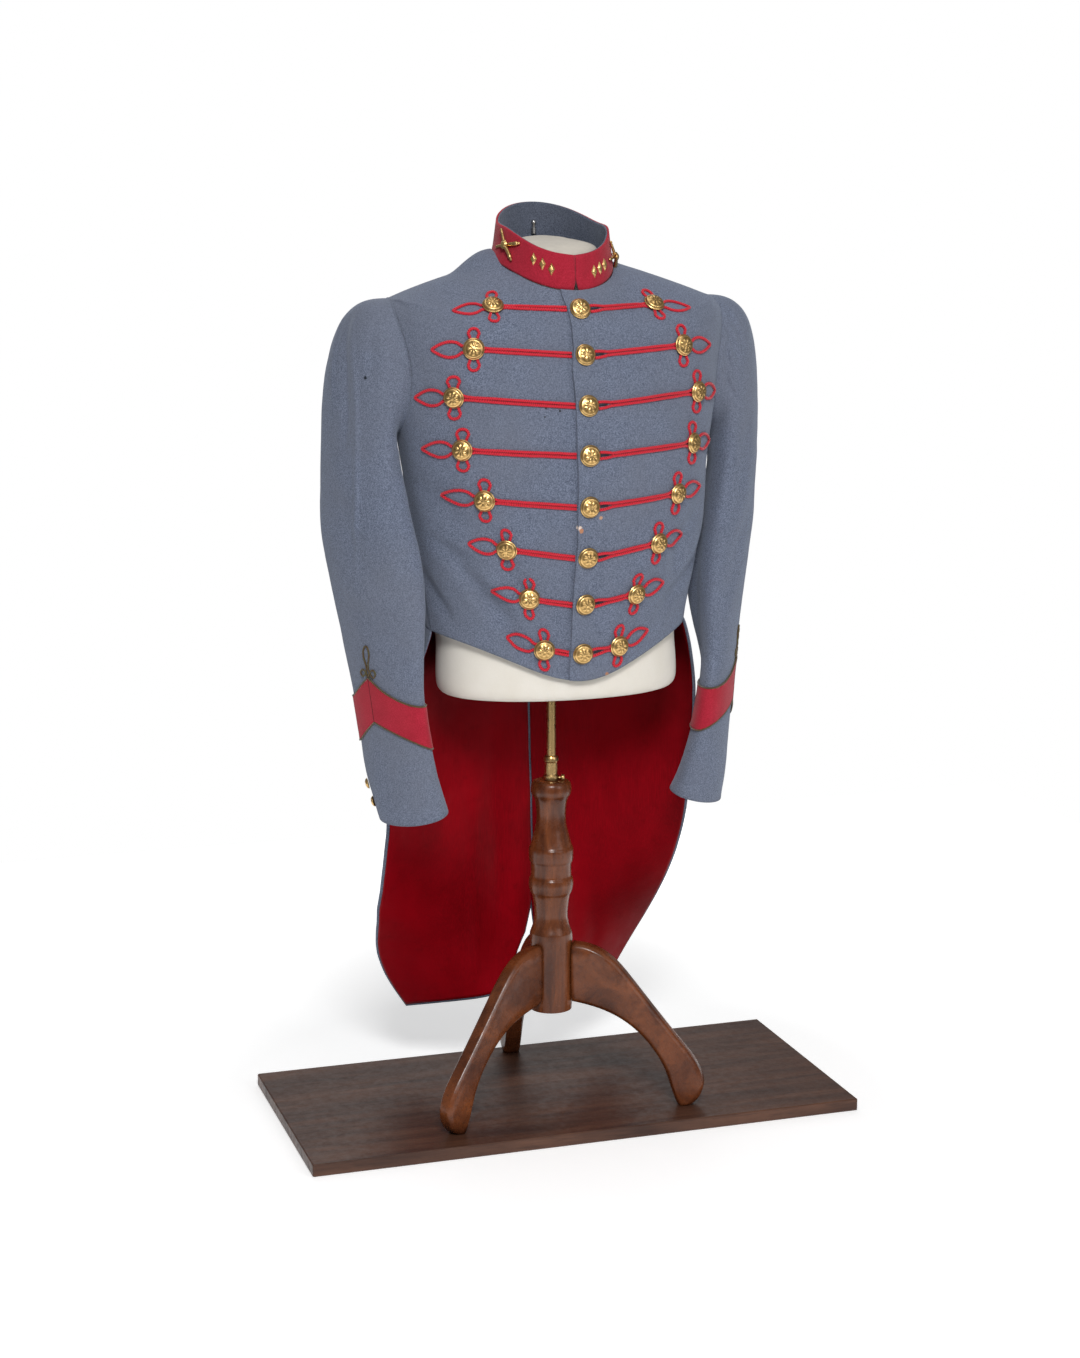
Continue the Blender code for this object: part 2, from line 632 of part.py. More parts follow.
def make_tail_lining(name, side, material, parent):
    grid, normals = tail_skins(side)
    across = (grid[5][1] - grid[5][0]).length
    outward = (grid[5][-1] - grid[5][-2]).length
    down = (grid[-1][3] - grid[-2][3]).length
    shares = (0.1, LINING_INSET / down, VENT_INSET / across, LINING_INSET / outward)
    place = inset_grid(grid, *shares)
    facing = inset_grid(normals, *shares)
    back = moved(place, facing, -CLOTH - SEAM_GAP)
    front = moved(place, facing, -CLOTH - SEAM_GAP - LINING)
    return new_object(name, wall_mesh(front, back, False), material, parent)


def collar_skin(lift):
    """The collar's outer points, lower and upper edge, moved in by lift from its face."""
    neck = row_at(TORSO_ROWS, NECK_LEVEL)
    rows = []
    for share in (0.0, 0.5, 1.0):
        line = []
        for j in range(COLLAR_SIDES + 1):
            bearing = COLLAR_OPENING + (360.0 - 2.0 * COLLAR_OPENING) * j / COLLAR_SIDES
            low = skin_point(neck, bearing)
            low.z += 2.0 * SEAM_GAP
            high = skin_point(COLLAR_RIM, bearing)
            point = low.lerp(high, share)
            inward = Vector((-point.x, neck.side_y - point.y, 0.0)).normalized()
            line.append(point + inward * lift)
        rows.append(line)
    return rows


def make_collar(material, lining, parent):
    outside = collar_skin(0.0)
    inside = collar_skin(COLLAR_CLOTH)
    new_object("collar", wall_mesh(outside, inside, False), material, parent)
    near = collar_skin(COLLAR_CLOTH + SEAM_GAP + 0.0001)
    far = collar_skin(COLLAR_CLOTH + SEAM_GAP + 0.0001 + COLLAR_LINING)
    new_object("collar_lining", wall_mesh(near, far, False), lining, parent)


class FrontFace:
    """Finds where a spot seen from the front lies on a front panel's facets."""

    def __init__(self, panel):
        self.tree = BVHTree.FromObject(panel, bpy.context.evaluated_depsgraph_get())

    def spot(self, x, z):
        place, normal, _, _ = self.tree.ray_cast(Vector((x, -1.0, z)), FRONT_RAY)
        if place is None:
            raise ValueError("nothing of the front panel lies at %.3f, %.3f" % (x, z))
        return place, normal


def leaf_route(row, side):
    """Half of one braid figure from the bar's inner end to the leaf's tip, as (x, z, across)."""
    outer = Vector((row.outer_x, row.outer_z))
    tip = Vector((row.tip_x, row.tip_z))
    reach = tip - outer
    route = []
    if side > 0.0:
        start = Vector((BUTTON_RADIUS + 0.0022, row.centre_z))
        route.append((start, BUTTONHOLE_HALF_WIDTH))
        hole_end = start.lerp(outer, BUTTONHOLE_LENGTH / (outer - start).length)
        route.append((start.lerp(hole_end, 0.62), BUTTONHOLE_HALF_WIDTH))
        start = hole_end
    else:
        start = Vector((FRONT_EDGE_X + 0.0008, row.centre_z))
    stop = outer - (outer - start).normalized() * (BUTTON_RADIUS * 0.95)
    steps = max(1, round((stop - start).length / BAR_STEP))
    for i in range(steps + 1):
        route.append((start.lerp(stop, i / steps), CORD_PAIR_OFFSET))
    along = reach.normalized()
    route.append((outer - along * 0.0030, 0.0072))
    for degrees in (218.0, 180.0, 130.0, 90.0, 50.0, 0.0, -38.0):
        angle = math.radians(degrees)
        route.append((outer + along * (SMALL_LOOP_RADIUS * math.cos(angle)),
                      SMALL_LOOP_CENTRE + SMALL_LOOP_RADIUS * math.sin(angle)))
    route.append((outer + along * 0.0030, 0.0072))
    route.append((outer + reach * 0.26, 0.0034))
    route.append((outer + reach * 0.42, LEAF_HALF_WIDTH * 0.86))
    route.append((outer + reach * 0.60, LEAF_HALF_WIDTH))
    route.append((outer + reach * 0.78, LEAF_HALF_WIDTH * 0.76))
    route.append((outer + reach * 0.95, LEAF_HALF_WIDTH * 0.26))
    return route, tip


def braid_route(row, side, face):
    """Surface points and normals along the whole cord of one figure."""
    half, tip = leaf_route(row, side)
    flat = [(spot.x, spot.y + across) for spot, across in half]
    flat.append((tip.x, tip.y))
    flat += [(spot.x, spot.y - across) for spot, across in reversed(half)]
    return [face.spot(side * x, z) for x, z in flat]


def make_braid(name, row, side, face, material, parent):
    """One cord of three-sided section, from one end of its route to the other."""
    route = braid_route(row, side, face)
    bm = bmesh.new()
    rings = []
    last = len(route) - 1
    for i, (place, normal) in enumerate(route):
        before = (place - route[i - 1][0]).normalized() if i else None
        after = (route[i + 1][0] - place).normalized() if i < last else None
        along = ((before or after) + (after or before)).normalized()
        across = along.cross(normal).normalized()
        if before and after:
            mitre = 1.0 / max(0.75, math.sqrt(0.5 + 0.5 * before.dot(after)))
        else:
            mitre = 1.0
        foot = place + normal * CORD_LIFT
        half = across * (0.5 * CORD_WIDTH * mitre)
        corners = (foot - half, foot + half, foot + normal * CORD_HEIGHT)
        rings.append([bm.verts.new(corner) for corner in corners])
    for ring, following in zip(rings, rings[1:]):
        for k in range(3):
            n = (k + 1) % 3
            bm.faces.new((ring[k], ring[n], following[n], following[k]))
    bm.faces.new(rings[0])
    bm.faces.new(rings[-1])
    return new_object(name, bm, material, parent)


def make_button(name, place, normal, lift, material, parent):
    """A domed button with its back parallel to the cloth."""
    bm = turned_mesh(BUTTON_PROFILE, BUTTON_SIDES)
    top = max(bm.faces, key=lambda face: face.calc_center_median().z)
    centre = top.calc_center_median()
    result = bmesh.ops.poke(bm, faces=[top])
    result["verts"][0].co = Vector((centre.x, centre.y, BUTTON_HEIGHT))
    turn = normal.to_track_quat("Z", "Y").to_matrix().to_4x4()
    bmesh.ops.transform(bm, matrix=Matrix.Translation(place + normal * lift) @ turn, verts=bm.verts)
    return new_object(name, bm, material, parent)


def make_front_trim(fronts, braid, gilt, parent):
    faces = {side: FrontFace(fronts[side]) for _, side in SIDES}
    for number, row in enumerate(BUTTON_ROWS, start=1):
        place, normal = faces[1.0].spot(0.0, row.centre_z)
        make_button("button_centre_%d" % number, place, normal, CENTRE_BUTTON_LIFT, gilt, parent)
        for word, side in SIDES:
            make_braid("braid_%s_%d" % (word, number), row, side, faces[side], braid, parent)
            place, normal = faces[side].spot(side * row.outer_x, row.outer_z)
            make_button("button_%s_%d" % (word, number), place, normal, OUTER_BUTTON_LIFT, gilt,
                        parent)


def form_ring(row):
    """One level ring of the form below the waist."""
    shape = TorsoRow("ring", row.z, row.z, row.z, row.front_y, row.half_width, -0.010,
                     row.back_y, 2.15, 0.0)
    shift = Vector((row.middle_x, 0.0, 0.0))
    return [skin_point(shape, 360.0 * k / FORM_SIDES) + shift for k in range(FORM_SIDES)]


def form_neck_ring(row):
    shape = TorsoRow("neck", row.z + row.front_rise, row.z, row.z - row.front_rise, row.front_y,
                     row.half_width, 0.0, row.back_y, 2.0, 0.0)
    return [skin_point(shape, 360.0 * k / FORM_SIDES) for k in range(FORM_SIDES)]


def make_form(material, parent):
    rings = [form_ring(row) for row in FORM_BASE_ROWS]
    for level in FORM_LEVELS:
        ring = []
        for k in range(FORM_SIDES):
            bearing = 360.0 * k / FORM_SIDES
            ring.append(torso_point(bearing, level) - torso_normal(bearing, level) * FORM_INSET)
        rings.append(ring)
    rings += [form_neck_ring(row) for row in FORM_NECK_ROWS]
    bm = bmesh.new()
    loops = [[bm.verts.new(point) for point in ring] for ring in rings]
    for lower, upper in zip(loops, loops[1:]):
        for k in range(FORM_SIDES):
            n = (k + 1) % FORM_SIDES
            bm.faces.new((lower[k], lower[n], upper[n], upper[k]))
    bm.faces.new(loops[-1])
    socket_radius = TUBE_RADIUS + REST_GAP
    base_z = FORM_BASE_ROWS[0].z
    mouth = []
    for height in (base_z, base_z + SOCKET_DEPTH):
        ring = []
        for k in range(FORM_SIDES):
            angle = 2.0 * math.pi * k / FORM_SIDES
            ring.append(bm.verts.new(Vector((socket_radius * math.sin(angle),
                                             -socket_radius * math.cos(angle), height))))
        mouth.append(ring)
    for lower, upper in ((loops[0], mouth[0]), (mouth[0], mouth[1])):
        for k in range(FORM_SIDES):
            n = (k + 1) % FORM_SIDES
            bm.faces.new((lower[k], upper[k], upper[n], lower[n]))
    bm.faces.new(mouth[1])
    return new_object("dress_form", bm, material, parent, smooth_angle=50.0)


def make_leg(name, bearing, material, parent):
    """A flat shaped leg cut from board, standing out from the column at a bearing."""
    bm = bmesh.new()
    half = 0.5 * LEG_THICKNESS
    face = bm.faces.new([bm.verts.new((r, -half, z)) for r, z in LEG_OUTLINE])
    pushed = bmesh.ops.extrude_face_region(bm, geom=[face])
    verts = [item for item in pushed["geom"] if isinstance(item, bmesh.types.BMVert)]
    bmesh.ops.translate(bm, verts=verts, vec=(0.0, LEG_THICKNESS, 0.0))
    rim = []
    for edge in bm.edges:
        flat = abs(edge.verts[0].co.y - edge.verts[1].co.y) < 1e-6
        middle = 0.5 * (edge.verts[0].co + edge.verts[1].co)
        seated = middle.x < LEG_OUTLINE[0][0] + 1e-4
        if flat and not seated and middle.z > PLANK_SIZE[2] + 2.0 * REST_GAP:
            rim.append(edge)
    bmesh.ops.bevel(bm, geom=rim, offset=LEG_EDGE, offset_type="OFFSET", segments=1,
                    profile=0.5, affect="EDGES", material=-1)
    leg = new_object(name, bm, material, parent, smooth_angle=50.0)
    leg.rotation_euler.z = math.radians(bearing)
    return leg


def make_plank(material):
    bm = bmesh.new()
    bmesh.ops.create_cube(bm, size=1.0)
    bmesh.ops.scale(bm, vec=PLANK_SIZE, verts=bm.verts)
    bmesh.ops.translate(bm, vec=(0.0, 0.0, 0.5 * PLANK_SIZE[2]), verts=bm.verts)
    bmesh.ops.bevel(bm, geom=list(bm.edges), offset=PLANK_EDGE, offset_type="OFFSET", segments=1,
                    profile=0.5, affect="EDGES", material=-1)
    return new_object("plank", bm, material, None, smooth_angle=20.0)


def main():
    clear_scene()
    wool = make_material("blue_grey_wool", (0.128, 0.158, 0.214), 0.95)
    facing = make_material("red_wool", (0.38, 0.009, 0.026), 0.9)
    satin = make_material("red_satin", (0.20, 0.002, 0.008), 0.45)
    cord = make_material("red_braid", (0.58, 0.012, 0.030), 0.7)
    gilt = make_material("gilt_brass", (0.65, 0.40, 0.13), 0.35, 1.0)
    brass = make_material("old_brass", (0.42, 0.30, 0.14), 0.4, 1.0)
    canvas = make_material("cream_canvas", (0.78, 0.74, 0.67), 0.85)
    walnut = make_material("varnished_wood", (0.12, 0.045, 0.022), 0.35)
    board = make_material("worn_plank", (0.055, 0.028, 0.020), 0.5)

    axis = bpy.data.objects.new("stand_axis", None)
    bpy.context.scene.collection.objects.link(axis)

    make_plank(board)
    for word, bearing in zip(("right", "left", "back"), LEG_BEARINGS):
        make_leg("leg_%s" % word, bearing, walnut, axis)
    new_object("column", turned_mesh(COLUMN_PROFILE, COLUMN_SIDES), walnut, axis)
    new_object("brass_tube", turned_mesh(TUBE_PROFILE, SOCKET_SIDES), brass, axis)
    make_form(canvas, axis)

    fronts = {}
    for word, side in SIDES:
        fronts[side] = make_front("front_%s" % word, side, wool, axis)
        make_sleeve("sleeve_%s" % word, side, wool, axis)
        make_cuff_band("cuff_band_%s" % word, side, facing, axis)
        make_tail("tail_%s" % word, side, wool, axis)
        make_tail_lining("tail_lining_%s" % word, side, satin, axis)
    make_back(wool, axis)
    make_collar(facing, wool, axis)
    make_front_trim(fronts, cord, gilt, axis)
    axis.location = STAND_AXIS


main()
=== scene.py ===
"""A full-dress coatee of blue-grey wool on a dress form and a turned wooden stand."""

import math
from collections import namedtuple

import bmesh
import bpy
import numpy as np
from mathutils import Matrix, Vector, noise
from mathutils.bvhtree import BVHTree


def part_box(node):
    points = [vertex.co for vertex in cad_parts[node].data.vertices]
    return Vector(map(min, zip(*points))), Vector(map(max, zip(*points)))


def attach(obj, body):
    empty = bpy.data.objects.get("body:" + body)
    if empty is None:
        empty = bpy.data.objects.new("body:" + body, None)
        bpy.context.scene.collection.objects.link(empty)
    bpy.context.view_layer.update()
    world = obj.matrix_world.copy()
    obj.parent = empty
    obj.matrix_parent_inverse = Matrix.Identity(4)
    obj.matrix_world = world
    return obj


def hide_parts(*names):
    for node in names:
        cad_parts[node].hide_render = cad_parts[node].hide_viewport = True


bl_info = {
    "name": "Full-dress coatee",
    "version": (1, 0, 0),
    "blender": (4, 5, 0),
    "location": "View3D > Sidebar > Coatee",
    "description": "Builds a full-dress coatee on its dress form and wooden stand",
    "category": "Add Mesh",
}

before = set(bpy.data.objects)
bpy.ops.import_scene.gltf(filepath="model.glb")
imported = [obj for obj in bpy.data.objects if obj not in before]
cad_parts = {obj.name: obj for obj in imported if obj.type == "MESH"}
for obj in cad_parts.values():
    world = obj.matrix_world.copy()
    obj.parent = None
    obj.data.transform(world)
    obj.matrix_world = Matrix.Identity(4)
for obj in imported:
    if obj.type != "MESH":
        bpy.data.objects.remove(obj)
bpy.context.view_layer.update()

COLUMN_LOW, COLUMN_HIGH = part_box("column")
STAND_AXIS = Vector((0.5 * (COLUMN_LOW[0] + COLUMN_HIGH[0]),
                     0.5 * (COLUMN_LOW[1] + COLUMN_HIGH[1]), 0.0))
SIDES = (("left", 1.0), ("right", -1.0))
UP = Vector((0.0, 0.0, 1.0))
FRONT_RAY = Vector((0.0, 1.0, 0.0))

# Half width and half depth of the body's oval, which say which way its cloth faces
BODY_HALF_WIDTH = 0.170
BODY_HALF_DEPTH = 0.115
CLOTH_SMOOTHING = 3
SOLID_SMOOTHING = 2
SHARP_RIM = 45.0

# Cut size of each sheet of cloth, its flat area and how it is held
Cut = namedtuple("Cut", "width length area held")

# A crease or a soft roll laid into cloth. Its points are from the stand's axis, its height is
# negative for a trough, and first and last say how much of it is left at its two ends.
Fold = namedtuple("Fold", "points width height first last")
TORSO_FOLDS = (
    Fold(((-0.1600, -0.0450, 0.7080), (-0.1377, -0.0768, 0.6832), (-0.1145, -0.0877, 0.6501),
          (-0.0861, -0.0968, 0.6140), (-0.0694, -0.0994, 0.5819)), 0.0125, -0.0066, 0.1, 0.4),
    Fold(((-0.1378, -0.0640, 0.7060), (-0.1100, -0.0900, 0.6760), (-0.0790, -0.1010, 0.6420),
          (-0.0600, -0.1050, 0.6100)), 0.0130, 0.0052, 0.0, 0.2),
    Fold(((-0.1578, -0.0548, 0.7035), (-0.1241, -0.0895, 0.6843), (-0.0962, -0.1038, 0.6683)),
         0.0090, -0.0042, 0.3, 0.0),
    Fold(((-0.1593, -0.0251, 0.6600), (-0.1466, -0.0450, 0.6300), (-0.1320, -0.0600, 0.6080)),
         0.0115, -0.0055, 0.6, 0.2),
    Fold(((-0.1080, -0.1050, 0.7250), (-0.0959, -0.1109, 0.7026), (-0.0785, -0.1103, 0.6629),
          (-0.0500, -0.1118, 0.6280)), 0.0150, -0.0036, 0.0, 0.0),
    Fold(((-0.1750, -0.0357, 0.7690), (-0.1536, -0.0741, 0.7503), (-0.1257, -0.0955, 0.7185)),
         0.0160, -0.0040, 0.8, 0.0),
    Fold(((-0.1727, -0.0641, 0.8598), (-0.1270, -0.1027, 0.8453), (-0.0972, -0.1165, 0.8294)),
         0.0240, -0.0028, 0.7, 0.0),
    Fold(((-0.0453, -0.1152, 0.6396), (-0.0261, -0.1105, 0.5927), (-0.0179, -0.1074, 0.5576)),
         0.0130, -0.0034, 0.0, 0.7),
    Fold(((-0.0030, -0.1270, 0.6900), (0.0041, -0.1250, 0.6555), (0.0181, -0.1190, 0.6257),
          (0.0159, -0.1123, 0.5793)), 0.0130, -0.0030, 0.0, 0.5),
    Fold(((0.1572, -0.0667, 0.7379), (0.1227, -0.0937, 0.6967), (0.1181, -0.0821, 0.6379)),
         0.0150, -0.0042, 0.6, 0.0),
    Fold(((0.1600, -0.0400, 0.6900), (0.1524, -0.0499, 0.6665), (0.1127, -0.0837, 0.6269),
          (0.0870, -0.0946, 0.6011)), 0.0120, -0.0050, 0.4, 0.0),
    Fold(((0.0640, -0.1177, 0.8800), (0.1155, -0.1074, 0.8560), (0.1474, -0.0886, 0.8201)),
         0.0260, -0.0030, 0.0, 0.6),
    Fold(((0.0060, -0.1330, 0.7640), (0.0150, -0.1320, 0.7750), (0.0290, -0.1290, 0.7930)),
         0.0070, -0.0034, 0.5, 0.0),
    Fold(((0.0150, -0.1320, 0.7900), (0.0300, -0.1290, 0.8060), (0.0520, -0.1240, 0.8180)),
         0.0120, 0.0024, 0.0, 0.0),
    Fold(((-0.0620, -0.1240, 0.8230), (-0.0420, -0.1270, 0.8120), (-0.0230, -0.1290, 0.7980)),
         0.0150, -0.0022, 0.0, 0.3),
    Fold(((-0.0900, -0.1150, 0.7830), (-0.0580, -0.1230, 0.7700), (-0.0240, -0.1290, 0.7640)),
         0.0170, -0.0026, 0.0, 0.2),
    Fold(((0.0300, -0.1260, 0.7150), (0.0620, -0.1180, 0.7230), (0.1020, -0.1020, 0.7380)),
         0.0160, -0.0030, 0.0, 0.2),
    Fold(((0.0250, -0.1230, 0.6620), (0.0600, -0.1120, 0.6650), (0.0980, -0.0960, 0.6760)),
         0.0140, 0.0026, 0.0, 0.0),
    Fold(((0.1300, 0.0600, 0.7900), (0.0950, 0.0830, 0.7400), (0.0600, 0.0930, 0.7000)),
         0.0140, -0.0028, 0.6, 0.0),
    Fold(((-0.1350, 0.0550, 0.8000), (-0.0900, 0.0850, 0.7650), (-0.0450, 0.0980, 0.7250)),
         0.0150, -0.0026, 0.7, 0.0),
    Fold(((0.1380, 0.0400, 0.7000), (0.0900, 0.0750, 0.6650), (0.0400, 0.0900, 0.6400)),
         0.0110, -0.0028, 0.5, 0.0),
    Fold(((-0.1380, 0.0350, 0.6900), (-0.0950, 0.0700, 0.6550), (-0.0500, 0.0880, 0.6420)),
         0.0100, -0.0030, 0.5, 0.0),
    Fold(((-0.0100, 0.1030, 0.9400), (0.0150, 0.1060, 0.8600), (0.0080, 0.1050, 0.7800)),
         0.0220, -0.0016, 0.0, 0.0),
    Fold(((-0.1000, 0.0930, 0.9300), (-0.0850, 0.1000, 0.8700), (-0.0900, 0.1000, 0.8200)),
         0.0180, -0.0018, 0.3, 0.0),
    Fold(((0.1050, 0.0900, 0.9200), (0.0920, 0.0980, 0.8500), (0.0800, 0.1000, 0.8000)),
         0.0160, -0.0018, 0.3, 0.0),
)
SLEEVE_FOLDS_RIGHT = (
    Fold(((-0.2350, -0.0150, 0.9450), (-0.2382, -0.0305, 0.8917), (-0.2372, -0.0324, 0.8371),
          (-0.2375, -0.0285, 0.7482), (-0.2358, -0.0143, 0.6336)), 0.0045, 0.0034, 0.3, 0.1),
    Fold(((-0.2380, 0.0200, 0.9500), (-0.2527, 0.0033, 0.8899), (-0.2552, 0.0006, 0.8459)),
         0.0060, 0.0036, 0.4, 0.0),
    Fold(((-0.2380, -0.0020, 0.9500), (-0.2461, -0.0165, 0.8910), (-0.2463, -0.0193, 0.8350),
          (-0.2470, -0.0160, 0.7800)), 0.0075, -0.0046, 0.4, 0.0),
    Fold(((-0.2150, -0.0420, 0.9400), (-0.2220, -0.0450, 0.9050), (-0.2240, -0.0450, 0.8700)),
         0.0090, -0.0024, 0.3, 0.0),
    Fold(((-0.1960, -0.0540, 0.9350), (-0.2000, -0.0580, 0.8950), (-0.2010, -0.0590, 0.8500)),
         0.0080, -0.0020, 0.3, 0.0),
    Fold(((-0.2506, -0.0053, 0.7235), (-0.2337, -0.0275, 0.6807), (-0.2017, -0.0576, 0.6498)),
         0.0170, -0.0042, 0.2, 0.3),
    Fold(((-0.2440, 0.0041, 0.6312), (-0.2239, -0.0304, 0.6128), (-0.1918, -0.0618, 0.6049)),
         0.0160, -0.0038, 0.5, 0.2),
    Fold(((-0.2023, -0.0528, 0.7828), (-0.1952, -0.0581, 0.7278), (-0.1944, -0.0616, 0.6724)),
         0.0140, -0.0040, 0.2, 0.0),
    Fold(((-0.2561, 0.0235, 0.6747), (-0.2408, -0.0070, 0.6441), (-0.2156, -0.0443, 0.6372)),
         0.0150, 0.0030, 0.5, 0.0),
    Fold(((-0.2450, 0.0500, 0.9000), (-0.2550, 0.0520, 0.8000), (-0.2500, 0.0480, 0.7000)),
         0.0140, -0.0026, 0.2, 0.0),
    Fold(((-0.2100, 0.0600, 0.7600), (-0.2300, 0.0450, 0.6800), (-0.2450, 0.0250, 0.6300)),
         0.0120, -0.0028, 0.2, 0.3),
    Fold(((-0.1800, 0.0300, 0.7000), (-0.1950, 0.0450, 0.6500), (-0.2150, 0.0400, 0.6000)),
         0.0130, -0.0024, 0.4, 0.0),
    Fold(((-0.2120, -0.0560, 0.5400), (-0.2100, -0.0550, 0.4700), (-0.2000, -0.0550, 0.4000)),
         0.0110, -0.0014, 0.0, 0.3),
)
SLEEVE_FOLDS_LEFT = (
    Fold(((0.1980, -0.0300, 0.9560), (0.2040, -0.0440, 0.9400), (0.2110, -0.0490, 0.9200),
          (0.2184, -0.0493, 0.9063)), 0.0040, -0.0030, 0.8, 0.0),
    Fold(((0.1930, -0.0420, 0.9440), (0.1980, -0.0540, 0.9180), (0.2060, -0.0560, 0.8980),
          (0.2150, -0.0523, 0.8800)), 0.0045, -0.0036, 0.8, 0.0),
    Fold(((0.1900, -0.0520, 0.9260), (0.1921, -0.0564, 0.9049), (0.1993, -0.0577, 0.8844),
          (0.2125, -0.0535, 0.8611)), 0.0045, -0.0034, 0.8, 0.0),
    Fold(((0.1890, -0.0560, 0.9080), (0.1906, -0.0576, 0.8891), (0.1937, -0.0569, 0.8686),
          (0.2047, -0.0550, 0.8477)), 0.0050, -0.0036, 0.8, 0.0),
    Fold(((0.2000, -0.0150, 0.9700), (0.2130, -0.0320, 0.9500), (0.2230, -0.0400, 0.9250)),
         0.0045, -0.0024, 0.8, 0.0),
    Fold(((0.2231, -0.0466, 0.8489), (0.2202, -0.0470, 0.7914), (0.2047, -0.0574, 0.7119)),
         0.0160, -0.0042, 0.0, 0.1),
    Fold(((0.2047, -0.0528, 0.8269), (0.1967, -0.0539, 0.7582), (0.1878, -0.0599, 0.6896)),
         0.0130, 0.0038, 0.0, 0.0),
    Fold(((0.2394, -0.0248, 0.7301), (0.2142, -0.0505, 0.6873), (0.1955, -0.0611, 0.6427)),
         0.0160, -0.0040, 0.3, 0.2),
    Fold(((0.2166, -0.0458, 0.6631), (0.1916, -0.0625, 0.6197), (0.1792, -0.0641, 0.5735)),
         0.0140, -0.0036, 0.3, 0.1),
    Fold(((0.2350, 0.0300, 0.9350), (0.2500, 0.0350, 0.8700), (0.2550, 0.0400, 0.8000)),
         0.0080, -0.0028, 0.5, 0.0),
    Fold(((0.2300, 0.0500, 0.9200), (0.2400, 0.0600, 0.8500), (0.2450, 0.0550, 0.7600)),
         0.0120, -0.0026, 0.4, 0.0),
    Fold(((0.2100, 0.0600, 0.7500), (0.2300, 0.0400, 0.6800), (0.2420, 0.0200, 0.6300)),
         0.0120, -0.0028, 0.2, 0.3),
    Fold(((0.1800, 0.0350, 0.7000), (0.1950, 0.0450, 0.6500), (0.2150, 0.0350, 0.6000)),
         0.0130, -0.0024, 0.4, 0.0),
)
TAIL_FOLDS = (
    Fold(((-0.1150, 0.0800, 0.5200), (-0.1200, 0.0900, 0.4000), (-0.1050, 0.1100, 0.2600),
          (-0.0900, 0.1300, 0.1500)), 0.0130, -0.0042, 0.1, 0.6),
    Fold(((-0.0400, 0.1000, 0.5000), (-0.0450, 0.1000, 0.3600), (-0.0350, 0.1020, 0.2200),
          (-0.0400, 0.1050, 0.1300)), 0.0150, 0.0034, 0.0, 0.7),
    Fold(((-0.0700, 0.0950, 0.4300), (-0.0720, 0.1000, 0.3000), (-0.0620, 0.1100, 0.1500)),
         0.0090, -0.0030, 0.0, 0.8),
    Fold(((-0.1600, 0.0500, 0.4600), (-0.1620, 0.0650, 0.3400), (-0.1450, 0.1000, 0.2400)),
         0.0120, 0.0036, 0.1, 0.2),
    Fold(((0.0350, 0.1000, 0.4800), (0.0420, 0.1020, 0.3400), (0.0480, 0.1050, 0.2000),
          (0.0500, 0.1080, 0.1200)), 0.0130, -0.0036, 0.0, 0.7),
    Fold(((0.0850, 0.0950, 0.5200), (0.0930, 0.1000, 0.3800), (0.0950, 0.1150, 0.2400),
          (0.0850, 0.1300, 0.1400)), 0.0160, 0.0040, 0.0, 0.5),
    Fold(((0.1350, 0.0750, 0.4800), (0.1450, 0.0850, 0.3600), (0.1350, 0.1100, 0.2400)),
         0.0120, -0.0038, 0.1, 0.3),
    Fold(((0.1180, 0.1050, 0.2900), (0.1250, 0.1180, 0.2350), (0.1150, 0.1300, 0.1900)),
         0.0080, -0.0020, 0.0, 0.0),
)
COLLAR_FOLDS = (
    Fold(((-0.0450, -0.0600, 1.0120), (-0.0300, -0.0720, 0.9950)), 0.0060, -0.0008, 0.5, 0.0),
    Fold(((0.0200, -0.0780, 1.0050), (0.0120, -0.0820, 0.9850)), 0.0060, -0.0008, 0.5, 0.0),
    Fold(((0.0500, 0.0450, 1.0550), (0.0400, 0.0560, 1.0200)), 0.0080, -0.0010, 0.6, 0.0),
    Fold(((-0.0250, 0.0650, 1.0600), (-0.0200, 0.0700, 1.0250)), 0.0080, -0.0009, 0.6, 0.0),
)

# A broad change of form: cloth within reach of a place moves by a step, most at its middle
Lean = namedtuple("Lean", "place reach move")
TORSO_LEANS = (
    Lean((0.1600, -0.0380, 0.6800), (0.0500, 0.0650, 0.1250), (0.0065, -0.0015, 0.0)),
    Lean((-0.1600, 0.0250, 0.6700), (0.0450, 0.0700, 0.1300), (-0.0045, 0.0010, 0.0)),
    Lean((-0.0760, 0.0130, 1.0000), (0.0450, 0.0520, 0.0520), (-0.0010, 0.0, 0.0140)),
)
SLEEVE_LEANS = (
    Lean((-0.1800, -0.0400, 0.6600), (0.0480, 0.0850, 0.1550), (0.0110, -0.0015, 0.0)),
    Lean((0.1830, -0.0200, 0.6650), (0.0480, 0.0800, 0.1350), (-0.0085, -0.0010, 0.0)),
    Lean((0.1900, 0.0150, 0.6450), (0.0500, 0.0450, 0.1500), (-0.0200, 0.0, 0.0)),
)
COLLAR_LEANS = (
    Lean((-0.0720, 0.0000, 0.9900), (0.0500, 0.0750, 0.0420), (-0.0065, 0.0, 0.0010)),
)

